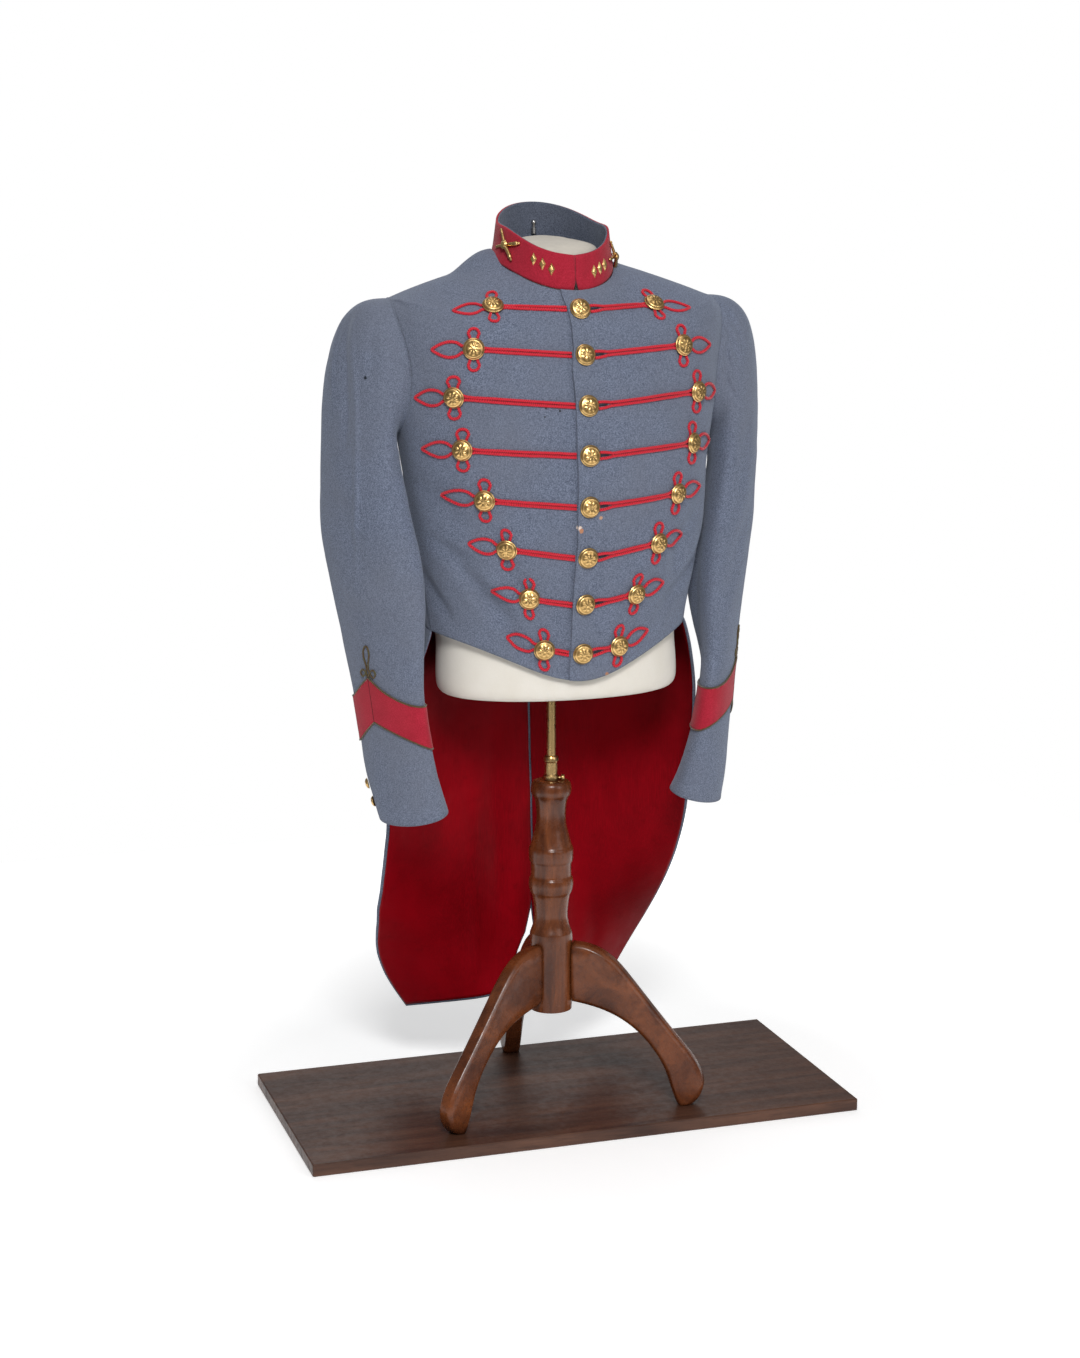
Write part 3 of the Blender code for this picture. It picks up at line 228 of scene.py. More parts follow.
# Rows of braid and buttons: heights on the centre line and at the outer button and loop tip
ButtonRow = namedtuple("ButtonRow", "centre_z outer_x outer_z tip_x tip_z")
BUTTON_ROWS = (
    ButtonRow(0.9575, 0.0935, 0.9600, 0.1375, 0.9560),
    ButtonRow(0.9085, 0.1210, 0.9160, 0.1620, 0.9150),
    ButtonRow(0.8540, 0.1410, 0.8640, 0.1760, 0.8620),
    ButtonRow(0.8000, 0.1340, 0.8070, 0.1690, 0.8060),
    ButtonRow(0.7435, 0.1120, 0.7520, 0.1510, 0.7560),
    ButtonRow(0.6865, 0.0875, 0.6975, 0.1260, 0.7030),
    ButtonRow(0.6330, 0.0620, 0.6410, 0.1010, 0.6500),
    ButtonRow(0.5760, 0.0435, 0.5820, 0.0825, 0.5960),
)
FRONT_EDGE_X = 0.0175
EDGE_SHIFT = 0.0034
CORD_PAIR_OFFSET = 0.00185
SMALL_LOOP_CENTRE = 0.0176
SMALL_LOOP_RADIUS = 0.0056
LEAF_HALF_WIDTH = 0.0085
BUTTONHOLE_HALF_WIDTH = 0.0036
BUTTONHOLE_LENGTH = 0.017

# The trefoil of cord above each cuff's peak, as (across, up) from the peak, in metres
KNOT_ROUTE = (
    (0.0012, 0.0010), (0.0030, 0.0060), (0.0085, 0.0085), (0.0125, 0.0045), (0.0095, 0.0002),
    (0.0045, 0.0040), (0.0015, 0.0110), (0.0036, 0.0190), (0.0052, 0.0270), (0.0030, 0.0345),
    (-0.0006, 0.0365), (-0.0036, 0.0330), (-0.0040, 0.0255), (-0.0018, 0.0170),
    (-0.0012, 0.0105), (-0.0040, 0.0042), (-0.0088, 0.0006), (-0.0122, 0.0052),
    (-0.0085, 0.0095), (-0.0030, 0.0062), (-0.0010, 0.0010),
)
CUFF_BUTTON_HEIGHTS = (0.3949, 0.4160)

# How far things stand off the cloth that they lie on
BAND_LIFT = 0.0018
BAND_UNDERSIDE_LIFT = 0.0003
EDGING_LIFT = 0.0013
CORD_LIFT = 0.0009
CENTRE_BUTTON_LIFT = 0.0006
OUTER_BUTTON_LIFT = 0.0026

# The lapped front edge: heights, the step sideways and the share of the curl at each
EDGE_HEIGHTS = (0.54, 0.58, 0.62, 0.66, 0.70, 0.74, 0.78, 0.82, 0.86, 0.895, 0.915, 0.94, 0.98)
EDGE_STEPS = (0.0, 0.0008, -0.0008, -0.0004, 0.0012, 0.0004, 0.0004, -0.0006, -0.0004, -0.0022,
              0.0010, 0.0016, 0.0)
EDGE_CURLS = (0.4, 0.9, 1.4, 0.8, 1.5, 1.0, 1.2, 0.7, 1.0, 1.3, 1.6, 0.8, 0.0)
EDGE_CURL = 0.0024

# Heights, and the step that each tail's inner edge takes toward the wearer's left there
VENT_STEPS = {
    "right": ((0.10, 0.165, 0.19, 0.31, 0.60), (0.0, 0.002, 0.013, 0.009, 0.0)),
    "left": ((0.10, 0.20, 0.31, 0.60), (0.0, 0.003, 0.009, 0.0)),
}
VENT_REACH = 0.030

CAMERA_PLACE = (-0.8893, -2.6844, 1.0711)
CAMERA_TARGET = (-0.0249, -0.0239, 0.5263)
LAMP_TARGET = (0.0, 0.0, 0.6)
LAMPS = (
    ("key", (-0.7, -2.8, 2.6), 0.9, 84.0),
    ("fill", (1.7, -2.7, 1.8), 1.6, 17.0),
    ("top", (-0.3, 0.1, 3.3), 1.4, 11.0),
    ("behind", (0.4, 2.6, 2.2), 2.0, 12.0),
)

# Turned shapes as (radius, height) pairs, from the top down
COLUMN_TURNING = (
    (0.0185, 0.4055), (0.0220, 0.4035), (0.0238, 0.3980), (0.0236, 0.3905), (0.0205, 0.3850),
    (0.0186, 0.3790), (0.0174, 0.3640), (0.0182, 0.3520), (0.0210, 0.3400), (0.0245, 0.3270),
    (0.0263, 0.3230), (0.0260, 0.3090), (0.0242, 0.3060), (0.0240, 0.2900), (0.0256, 0.2875),
    (0.0264, 0.2790), (0.0248, 0.2710), (0.0222, 0.2650), (0.0197, 0.2450), (0.0213, 0.2310),
    (0.0250, 0.2200), (0.0240, 0.2165), (0.0256, 0.2135), (0.0256, 0.1330), (0.0236, 0.1296),
)
TUBE_TURNING = (
    (0.0049, 0.5500), (0.0057, 0.5490), (0.0057, 0.4350), (0.0078, 0.4345), (0.0090, 0.4320),
    (0.0090, 0.4290), (0.0076, 0.4270), (0.0076, 0.4130), (0.0090, 0.4110), (0.0090, 0.4065),
    (0.0080, 0.4058),
)


def colour_property(name, description, default):
    return bpy.props.FloatVectorProperty(name=name, description=description, subtype="COLOR",
                                         size=3, min=0.0, max=1.0, default=default)


def length_property(name, description, default, least, most):
    return bpy.props.FloatProperty(name=name, description=description, subtype="DISTANCE",
                                   unit="LENGTH", default=default, min=least, max=most)


class CoateeCloth(bpy.types.PropertyGroup):
    wool_colour: colour_property("Wool", "Colour of the blue-grey wool", (0.118, 0.138, 0.192))
    facing_colour: colour_property("Facing", "Colour of the red wool on the collar and cuffs",
                                   (0.38, 0.009, 0.026))
    satin_colour: colour_property("Tail lining", "Colour of the satin that lines the tails",
                                  (0.215, 0.0006, 0.0045))
    unevenness: length_property("Unevenness", "How far the cloth wanders from its cut form",
                                0.0009, 0.0, 0.003)


class CoateeTrim(bpy.types.PropertyGroup):
    braid_colour: colour_property("Braid", "Colour of the cord laid on the fronts",
                                  (0.58, 0.012, 0.030))
    cord_thickness: length_property("Cord thickness", "Diameter of the red cord",
                                    0.0035, 0.001, 0.006)
    edging_thickness: length_property("Cuff cord", "Diameter of the dark gold cord on the cuffs",
                                      0.0021, 0.001, 0.004)
    edging_colour: colour_property("Cuff cord colour", "Colour of the dark gold cord",
                                   (0.090, 0.052, 0.020))
    button_radius: length_property("Button radius", "Radius of each domed button",
                                   0.0120, 0.005, 0.02)
    cuff_button_radius: length_property("Cuff button radius",
                                        "Radius of the small buttons on the cuffs",
                                        0.0064, 0.004, 0.012)
    gilt_colour: colour_property("Gilt brass", "Colour of the buttons and collar pieces",
                                 (0.74, 0.49, 0.20))


class CoateeStand(bpy.types.PropertyGroup):
    wood_colour: colour_property("Stand wood", "Colour of the varnished column and legs",
                                 (0.125, 0.034, 0.011))
    plank_colour: colour_property("Plank", "Colour of the dark base board",
                                  (0.074, 0.030, 0.018))
    canvas_colour: colour_property("Form cover", "Colour of the cotton over the dress form",
                                   (0.78, 0.74, 0.67))
    brass_colour: colour_property("Tube", "Colour of the old brass tube", (0.56, 0.38, 0.17))


class CoateeStage(bpy.types.PropertyGroup):
    lens: bpy.props.FloatProperty(
        name="Lens", description="Focal length of the camera", subtype="DISTANCE_CAMERA",
        unit="CAMERA", default=64.74, min=20.0, max=200.0)
    floor_size: length_property("Floor", "Length of each side of the floor", 2.6, 1.0, 50.0)
    light_strength: bpy.props.FloatProperty(
        name="Light", description="Strength of every lamp together", subtype="FACTOR",
        default=1.0, min=0.1, max=4.0)


def from_axis(place):
    """A place given from the stand's axis, in the frame."""
    return Vector(place) + STAND_AXIS


def smoothstep(value):
    value = np.clip(value, 0.0, 1.0)
    return value * value * (3.0 - 2.0 * value)


def added_object(name, mesh):
    piece = bpy.data.objects.new(name, mesh)
    bpy.context.scene.collection.objects.link(piece)
    return piece


def object_from_bmesh(name, bm):
    mesh = bpy.data.meshes.new(name)
    bm.to_mesh(mesh)
    bm.free()
    return added_object(name, mesh)


def baked(piece):
    """Swaps a piece for the plain mesh of what its modifiers or bevel make."""
    bpy.context.view_layer.update()
    graph = bpy.context.evaluated_depsgraph_get()
    mesh = bpy.data.meshes.new_from_object(piece.evaluated_get(graph), depsgraph=graph)
    name = piece.name
    bpy.data.objects.remove(piece)
    mesh.name = name
    return added_object(name, mesh)


def finished(piece, material, slot, *nodes):
    """Gives a piece its finish and its place in the frame, and hides the CAD nodes that it stands
    for.
    """
    piece.data.materials.clear()
    piece.data.materials.append(material)
    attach(piece, "root")
    if nodes:
        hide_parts(*nodes)
    return piece


def smooth_shaded(piece, degrees=35.0):
    bm = bmesh.new()
    bm.from_mesh(piece.data)
    for face in bm.faces:
        face.smooth = True
    for edge in bm.edges:
        edge.smooth = len(edge.link_faces) == 2 and edge.calc_face_angle(0.0) < math.radians(degrees)
    bm.to_mesh(piece.data)
    bm.free()
    return piece


def grown_from_node(name, node, levels, crease=1.0, crease_angle=50.0):
    """A smooth mesh grown from a CAD solid's own faces, with its rim kept crisp."""
    bm = bmesh.new()
    bm.from_mesh(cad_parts[node].data)
    bmesh.ops.remove_doubles(bm, verts=bm.verts, dist=1e-5)
    bmesh.ops.join_triangles(bm, faces=bm.faces, angle_face_threshold=math.radians(70.0),
                             angle_shape_threshold=math.radians(140.0))
    layer = bm.edges.layers.float.new("crease_edge")
    for edge in bm.edges:
        if len(edge.link_faces) != 2 or edge.calc_face_angle(0.0) > math.radians(crease_angle):
            edge[layer] = crease
    for face in bm.faces:
        face.smooth = True
    piece = object_from_bmesh(name, bm)
    smoothing = piece.modifiers.new("smoothing", "SUBSURF")
    smoothing.levels = levels
    smoothing.render_levels = levels
    return baked(piece)


def grown_cloth(node):
    return grown_from_node("cloth_" + node, node, CLOTH_SMOOTHING)


def mesh_points(mesh):
    points = np.empty(3 * len(mesh.vertices))
    mesh.vertices.foreach_get("co", points)
    return points.reshape(-1, 3)


def set_mesh_points(mesh, points):
    mesh.vertices.foreach_set("co", points.ravel())
    mesh.update()


class Skin:
    """Finds places on a finished piece."""

    def __init__(self, mesh):
        corners = [vertex.co.copy() for vertex in mesh.vertices]
        self.tree = BVHTree.FromPolygons(corners, [list(face.vertices) for face in mesh.polygons])

    def seen_from_front(self, x, z):
        place, normal, _, _ = self.tree.ray_cast(Vector((x, -2.0, z)), FRONT_RAY)
        if place is None:
            raise ValueError("nothing lies at %.3f, %.3f" % (x, z))
        return place, normal

    def nearest(self, point):
        place, normal, _, distance = self.tree.find_nearest(Vector(point))
        return place, normal, distance


def level_directions(across, back):
    """Level directions of length 1 from their parts across and toward the back."""
    level = np.stack((across, back, np.zeros_like(across)), axis=1)
    return level / np.maximum(np.linalg.norm(level, axis=1), 1e-6)[:, None]


def outward_torso(points):
    """The level direction away from the body for each point of the torso's cloth."""
    return level_directions((points[:, 0] - STAND_AXIS.x) / BODY_HALF_WIDTH ** 2,
                            (points[:, 1] - STAND_AXIS.y + 0.010) / BODY_HALF_DEPTH ** 2)


def outward_tails(points):
    return level_directions(points[:, 0] - STAND_AXIS.x, points[:, 1] - STAND_AXIS.y + 0.12)


def sleeve_middle_line(points):
    """Heights and middles of a sleeve, from the spread of its points in level slices."""
    heights = np.linspace(points[:, 2].min() + 0.01, points[:, 2].max() - 0.01, 40)
    middles = []
    for height in heights:
        near = points[np.abs(points[:, 2] - height) < 0.012]
        middles.append(0.5 * (near.min(axis=0) + near.max(axis=0)))
    return heights, np.array(middles)


def outward_sleeve(points):
    heights, middles = sleeve_middle_line(points)
    return level_directions(points[:, 0] - np.interp(points[:, 2], heights, middles[:, 0]),
                            points[:, 1] - np.interp(points[:, 2], heights, middles[:, 1]))


def fold_heights(points, folds):
    """How far every point is moved by the folds together."""
    moves = np.zeros(len(points))
    for fold in folds:
        line = np.array([from_axis(place) for place in fold.points])
        spans = np.linalg.norm(np.diff(line, axis=0), axis=1)
        total = spans.sum()
        nearest = np.full(len(points), 1e9)
        progress = np.zeros(len(points))
        done = 0.0
        for start, stop, span in zip(line, line[1:], spans):
            along = (stop - start) / span
            share = np.clip((points - start) @ along, 0.0, span)
            gap = np.linalg.norm(points - start - share[:, None] * along, axis=1)
            closer = gap < nearest
            nearest[closer] = gap[closer]
            progress[closer] = (done + share[closer]) / total
            done += span
        spread = (nearest / fold.width) ** 2
        profile = np.exp(-spread) * (1.0 - 0.45 * spread)
        first = fold.first + (1.0 - fold.first) * smoothstep(progress / 0.35)
        last = fold.last + (1.0 - fold.last) * smoothstep((1.0 - progress) / 0.35)
        moves += fold.height * profile * first * last
    return moves


def wandering(points, seed, spacing):
    """A soft unevenness between -1 and 1 over the cloth."""
    values = np.empty(len(points))
    offset = Vector((seed, 2.7 * seed, 0.4 * seed))
    for i, point in enumerate(points):
        values[i] = noise.noise(Vector(point) / spacing + offset)
    return values


def held_share(points, neighbours, reach, start=0.002):
    """0 beside the neighbouring cloth, where the seams hold a piece, to 1 away from it."""
    share = np.ones(len(points))
    for node in neighbours:
        bm = bmesh.new()
        bm.from_mesh(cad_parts[node].data)
        tree = BVHTree.FromBMesh(bm)
        bm.free()
        for i, point in enumerate(points):
            place, _, _, distance = tree.find_nearest(Vector(point), start + reach)
            if place is not None:
                part = max(0.0, (distance - start) / reach)
                share[i] *= part * part * (3.0 - 2.0 * part)
    return share


def leaning(points, leans):
    """How far every point is carried by the broad changes of form."""
    steps = np.zeros_like(points)
    for lean in leans:
        apart = (points - np.array(from_axis(lean.place))) / np.array(lean.reach)
        share = np.clip(1.0 - (apart ** 2).sum(axis=1), 0.0, 1.0) ** 2
        steps += share[:, None] * np.array(lean.move)
    return steps


def lay_cloth(piece, outward, folds, neighbours, unevenness, reach=0.022, seed=3.1,
              leans=TORSO_LEANS):
    points = mesh_points(piece.data)
    directions = outward(points)
    moves = fold_heights(points, folds)
    moves += unevenness * wandering(points, seed, 0.045)
    moves += 0.35 * unevenness * wandering(points, seed + 9.0, 0.016)
    moves *= held_share(points, neighbours, reach)
    moved = points + directions * moves[:, None] + leaning(points, leans)
    set_mesh_points(piece.data, moved)
    return piece


class Finish:
    """A material's nodes, with short calls for the ones that these finishes share."""

    def __init__(self, name, roughness, metallic=0.0):
        self.material = bpy.data.materials.new(name)
        self.material.use_nodes = True
        self.tree = self.material.node_tree
        self.shader = self.tree.nodes["Principled BSDF"]
        self.set(self.shader.inputs["Roughness"], roughness)
        self.set(self.shader.inputs["Metallic"], metallic)
        coordinates = self.tree.nodes.new("ShaderNodeTexCoord")
        self.place = coordinates.outputs["Object"]
        self.uv = coordinates.outputs["UV"]

    def set(self, socket, value):
        if isinstance(value, bpy.types.NodeSocket):
            self.tree.links.new(value, socket)
        elif hasattr(value, "__len__") and len(value) == 3 and socket.type == "RGBA":
            socket.default_value = (value[0], value[1], value[2], 1.0)
        else:
            socket.default_value = value

    def shade(self, name, value):
        self.set(self.shader.inputs[name], value)

    def mapped(self, vector, scale=(1.0, 1.0, 1.0), turn=(0.0, 0.0, 0.0)):
        node = self.tree.nodes.new("ShaderNodeMapping")
        self.set(node.inputs["Vector"], vector)
        node.inputs["Scale"].default_value = scale
        node.inputs["Rotation"].default_value = turn
        return node.outputs[0]

    def noise(self, scale, detail=2.0, roughness=0.5, vector=None, distortion=0.0):
        node = self.tree.nodes.new("ShaderNodeTexNoise")
        self.set(node.inputs["Vector"], vector or self.place)
        self.set(node.inputs["Scale"], scale)
        self.set(node.inputs["Detail"], detail)
        self.set(node.inputs["Roughness"], roughness)
        self.set(node.inputs["Distortion"], distortion)
        return node.outputs[0]

    def wave(self, scale, vector, distortion=0.0, detail=0.0, direction="X"):
        node = self.tree.nodes.new("ShaderNodeTexWave")
        node.bands_direction = direction
        self.set(node.inputs["Vector"], vector)
        self.set(node.inputs["Scale"], scale)
        self.set(node.inputs["Distortion"], distortion)
        self.set(node.inputs["Detail"], detail)
        return node.outputs["Fac"]

    def range(self, value, low, high, low_out=0.0, high_out=1.0):
        node = self.tree.nodes.new("ShaderNodeMapRange")
        self.set(node.inputs["Value"], value)
        self.set(node.inputs["From Min"], low)
        self.set(node.inputs["From Max"], high)
        self.set(node.inputs["To Min"], low_out)
        self.set(node.inputs["To Max"], high_out)
        return node.outputs[0]

    def math(self, operation, first, second):
        node = self.tree.nodes.new("ShaderNodeMath")
        node.operation = operation
        self.set(node.inputs[0], first)
        self.set(node.inputs[1], second)
        return node.outputs[0]

    def mix(self, share, first, second):
        node = self.tree.nodes.new("ShaderNodeMix")
        node.data_type = "RGBA"
        self.set(node.inputs[0], share)
        self.set(node.inputs[6], first)
        self.set(node.inputs[7], second)
        return node.outputs[2]

    def over(self, base, value, low, high, colour, most=1.0):
        """The base with a colour laid over it, more of it as a value runs from low to high."""
        return self.mix(self.range(value, low, high, 0.0, most), base, colour)

    def spotted(self, base, place, core, rim, colour, most=1.0, wobble=None):
        """The base with a round spot that fades out from its core's radius to its rim's."""
        gap = self.distance(from_axis(place), wobble)
        return self.mix(self.range(gap, core, rim, most, 0.0), base, colour)

    def distance(self, point, wobble=None):
        """Distance from a place in the frame, with an uneven rim if wobble is given."""
        node = self.tree.nodes.new("ShaderNodeVectorMath")
        node.operation = "DISTANCE"
        self.set(node.inputs[0], self.place)
        node.inputs[1].default_value = point
        if wobble is None:
            return node.outputs["Value"]
        return self.math("ADD", node.outputs["Value"], wobble)

    def part(self, vector, axis):
        node = self.tree.nodes.new("ShaderNodeSeparateXYZ")
        self.set(node.inputs[0], vector)
        return node.outputs[axis]

    def relief(self, height, depth, strength):
        node = self.tree.nodes.new("ShaderNodeBump")
        self.set(node.inputs["Height"], height)
        self.set(node.inputs["Distance"], depth)
        self.set(node.inputs["Strength"], strength)
        self.shade("Normal", node.outputs[0])


def tinted(colour, factor, shift=(1.0, 1.0, 1.0)):
    return tuple(max(0.0, min(1.0, colour[i] * factor * shift[i])) for i in range(3))


# Moth holes and worn spots on the wool: place from the stand's axis, radius, and what shows
# The near-black spots are holes painted with the shade inside them; the pale and brown ones are the
# form and stains.
Spot = namedtuple("Spot", "place radius colour")
WOOL_SPOTS = (
    Spot((-0.0473, -0.1246, 0.8526), 0.0016, (0.030, 0.034, 0.042)),
    Spot((-0.0319, -0.1266, 0.8491), 0.0015, (0.030, 0.034, 0.042)),
    Spot((-0.0488, -0.1259, 0.8430), 0.0013, (0.032, 0.036, 0.045)),
    Spot((-0.2288, -0.0421, 0.8835), 0.0022, (0.010, 0.013, 0.018)),
    Spot((-0.0118, -0.1327, 0.7205), 0.0036, (0.74, 0.60, 0.50)),
    Spot((-0.0095, -0.1327, 0.7175), 0.0034, (0.42, 0.19, 0.10)),
    Spot((0.0136, -0.1336, 0.7310), 0.0022, (0.46, 0.26, 0.16)),
    Spot((0.0307, -0.1079, 0.5502), 0.0024, (0.40, 0.18, 0.09)),
    Spot((-0.0678, -0.1208, 0.8583), 0.0016, (0.055, 0.060, 0.072)),
)
# Pin pricks in the form's cover, from the stand's axis
CANVAS_PRICKS = (
    (0.0720, -0.0930, 0.5520), (0.0790, -0.0900, 0.5470), (0.0840, -0.0880, 0.5540),
    (0.0660, -0.0950, 0.5450), (-0.0480, -0.1000, 0.5380),
)


def wool_finish(name, colour, spots=()):
    """Melton with pale and dark fibres, a little fading and a raised nap."""
    finish = Finish(name, 0.92)
    fibres = finish.noise(760.0, 3.0, 0.72)
    tufts = finish.noise(330.0, 2.0, 0.6, distortion=0.6)
    cloudy = finish.noise(26.0, 4.0, 0.6)
    worn = finish.noise(6.5, 3.0, 0.55)
    deep = tinted(colour, 0.52, (0.92, 0.97, 1.05))
    pale = tinted(colour, 1.50, (1.03, 1.02, 1.0))
    faded = tinted(colour, 1.04, (1.14, 1.04, 0.92))
    base = finish.over(deep, fibres, 0.39, 0.61, pale)
    base = finish.over(base, tufts, 0.44, 0.70, tinted(colour, 1.30), 0.34)
    base = finish.over(base, cloudy, 0.35, 0.75, tinted(colour, 0.78), 0.28)
    base = finish.over(base, worn, 0.44, 0.68, faded, 0.40)
    rim = finish.range(finish.noise(900.0, 2.0), 0.2, 0.8, -0.0009, 0.0009)
    # The dark spots paint the shade seen through moth holes.
    for spot in spots:
        base = finish.spotted(base, spot.place, spot.radius * 0.75, spot.radius, spot.colour,
                              wobble=rim)
    finish.shade("Base Color", base)
    finish.shade("Sheen Weight", 0.22)
    finish.shade("Sheen Roughness", 0.55)
    finish.shade("Sheen Tint", (0.72, 0.80, 0.95, 1.0))
    finish.shade("Specular IOR Level", 0.18)
    nap = finish.math("ADD", finish.math("MULTIPLY", fibres, 0.55),
                      finish.math("MULTIPLY", tufts, 0.45))
    finish.relief(nap, 0.0010, 0.55)
    return finish.material


def facing_finish(name, colour):
    """Smoother red wool with a close surface."""
    finish = Finish(name, 0.88)
    fibres = finish.noise(950.0, 3.0, 0.7)
    cloudy = finish.noise(40.0, 4.0, 0.6)
    worn = finish.noise(12.0, 3.0, 0.6)
    base = finish.over(tinted(colour, 0.70), fibres, 0.34, 0.68,
                       tinted(colour, 1.24, (1.0, 1.9, 1.5)))
    base = finish.over(base, cloudy, 0.38, 0.75, tinted(colour, 0.66), 0.5)
    base = finish.over(base, worn, 0.50, 0.74, tinted(colour, 0.92, (1.0, 2.6, 1.2)), 0.35)
    finish.shade("Base Color", base)
    finish.shade("Sheen Weight", 0.18)
    finish.shade("Sheen Roughness", 0.5)
    finish.shade("Sheen Tint", (1.0, 0.62, 0.62, 1.0))
    finish.shade("Specular IOR Level", 0.2)
    finish.relief(fibres, 0.0007, 0.45)
    return finish.material


def satin_finish(name, colour):
    """Close satin: fine warp lines, a soft gloss, slow changes of depth and painted shade toward the
    top.
    """
    finish = Finish(name, 0.42)
    warp = finish.noise(900.0, 2.0, 0.6, finish.mapped(finish.place, (1.0, 1.0, 0.06)))
    slow = finish.noise(9.0, 3.0, 0.55, finish.mapped(finish.place, (1.0, 1.0, 0.45)))
    marks = finish.noise(60.0, 3.0, 0.65)
    height = finish.part(finish.place, 2)
    base = finish.over(tinted(colour, 0.62), slow, 0.32, 0.70, tinted(colour, 1.30))
    base = finish.over(base, warp, 0.35, 0.70, tinted(colour, 1.45), 0.35)
    base = finish.over(base, marks, 0.58, 0.80, tinted(colour, 0.45), 0.45)
    # Painted shade: the satin darkens toward the top, where the form and the coat above shade it.
    base = finish.over(base, height, 0.38, 0.55, tinted(colour, 0.15), 0.72)
    finish.shade("Base Color", base)
    finish.shade("Roughness", finish.range(marks, 0.3, 0.8, 0.48, 0.62))
    finish.shade("Specular Tint", (1.0, 0.10, 0.12, 1.0))
    finish.shade("Specular IOR Level", 0.30)
    finish.relief(warp, 0.0003, 0.35)
    return finish.material


def cord_finish(name, colour, roughness=0.72, strands_per_metre=330.0, slant=2.0):
    """Plaited cord: slanting strands along it, read from the cord's own map in metres, with painted
    shade between them.
    """
    finish = Finish(name, roughness)
    run = finish.mapped(finish.uv, (strands_per_metre, slant, 1.0))
    strands = [finish.wave(0.5, finish.mapped(run, turn=(0.0, 0.0, math.radians(lean))), 0.6, 1.0)
               for lean in (38.0, -38.0)]
    plait_with_groove_shade = finish.math("MAXIMUM", *strands)
    dust = finish.noise(260.0, 3.0, 0.65)
    # Painted shade and highlight: the grooves between strands go to half the cord's colour, and the
    # strand tops go a little above it.
    base = finish.over(tinted(colour, 0.50), plait_with_groove_shade, 0.35, 0.9, tinted(colour, 1.10))
    base = finish.over(base, dust, 0.45, 0.75, tinted(colour, 0.85, (1.0, 3.0, 1.8)), 0.45)
    finish.shade("Base Color", base)
    finish.shade("Sheen Weight", 0.25)
    finish.shade("Sheen Roughness", 0.4)
    finish.shade("Specular IOR Level", 0.3)
    finish.relief(plait_with_groove_shade, 0.0006, 0.6)
    return finish.material


def brass_finish(name, colour, roughness, dull=0.5, scale=1.0):
    """Old brass with darker patina in patches and a handled brightness between them."""
    finish = Finish(name, roughness, 1.0)
    patches = finish.noise(180.0 * scale, 4.0, 0.62)
    pits = finish.noise(900.0 * scale, 3.0, 0.7)
    base = finish.over(colour, patches, 0.40, 0.72, tinted(colour, 0.42, (0.95, 0.85, 0.7)), dull)
    base = finish.over(base, pits, 0.60, 0.78, tinted(colour, 0.28), 0.5)
    finish.shade("Base Color", base)
    finish.shade("Roughness", finish.range(patches, 0.3, 0.8, roughness - 0.06, roughness + 0.20))
    finish.relief(pits, 0.0002, 0.4)
    return finish.material


def button_finish(name, colour):
    """Gilt brass, bright on the raised parts and brown in the hollows."""
    finish = Finish(name, 0.30, 1.0)
    raised = finish.tree.nodes.new("ShaderNodeAttribute")
    raised.attribute_name = "raised"
    patches = finish.noise(210.0, 4.0, 0.62)
    pits = finish.noise(1200.0, 3.0, 0.7)
    base = finish.over(tinted(colour, 0.34, (1.0, 0.86, 0.62)), raised.outputs["Fac"], 0.05, 0.70,
                       colour)
    base = finish.over(base, patches, 0.46, 0.76, tinted(colour, 0.50, (1.0, 0.90, 0.76)), 0.45)
    base = finish.over(base, pits, 0.60, 0.78, tinted(colour, 0.28), 0.5)
    finish.shade("Base Color", base)
    finish.shade("Roughness", finish.range(patches, 0.3, 0.8, 0.26, 0.48))
    return finish.material


def canvas_finish(name, colour):
    """Cotton cover with a fine plain weave, handling marks, a few pin pricks and painted shade over
    the neck cap.
    """
    finish = Finish(name, 0.86)
    weft = finish.wave(1050.0, finish.mapped(finish.place, (0.0, 0.0, 1.0)), 0.4, 1.0,
                       direction="Z")
    fibres = finish.noise(1400.0, 2.0, 0.6)
    handled = finish.noise(14.0, 5.0, 0.6)
    stain = finish.noise(45.0, 4.0, 0.65)
    base = finish.over(colour, handled, 0.45, 0.75, tinted(colour, 0.86, (1.0, 0.97, 0.90)), 0.55)
    base = finish.over(base, stain, 0.64, 0.80, tinted(colour, 0.74, (1.0, 0.93, 0.80)), 0.45)
    base = finish.over(base, fibres, 0.3, 0.75, tinted(colour, 0.80), 0.25)
    for place in CANVAS_PRICKS:
        base = finish.spotted(base, place, 0.0008, 0.0024, tinted(colour, 0.40, (1.0, 0.85, 0.6)),
                              0.75)
    # Painted shade: the cover turns darker over the neck cap, from 0.96 to 0.985 m up, where the
    # collar shades it.
    shaded_neck_cap = finish.over(tinted(colour, 0.46, (1.0, 0.96, 0.90)), handled, 0.30, 0.70,
                           tinted(colour, 0.78, (1.0, 0.97, 0.93)))
    base = finish.over(base, finish.part(finish.place, 2), 0.96, 0.985, shaded_neck_cap, 0.85)
    finish.shade("Base Color", base)
    finish.shade("Sheen Weight", 0.15)
    finish.shade("Specular IOR Level", 0.2)
    finish.relief(finish.math("ADD", weft, fibres), 0.0003, 0.4)
    return finish.material


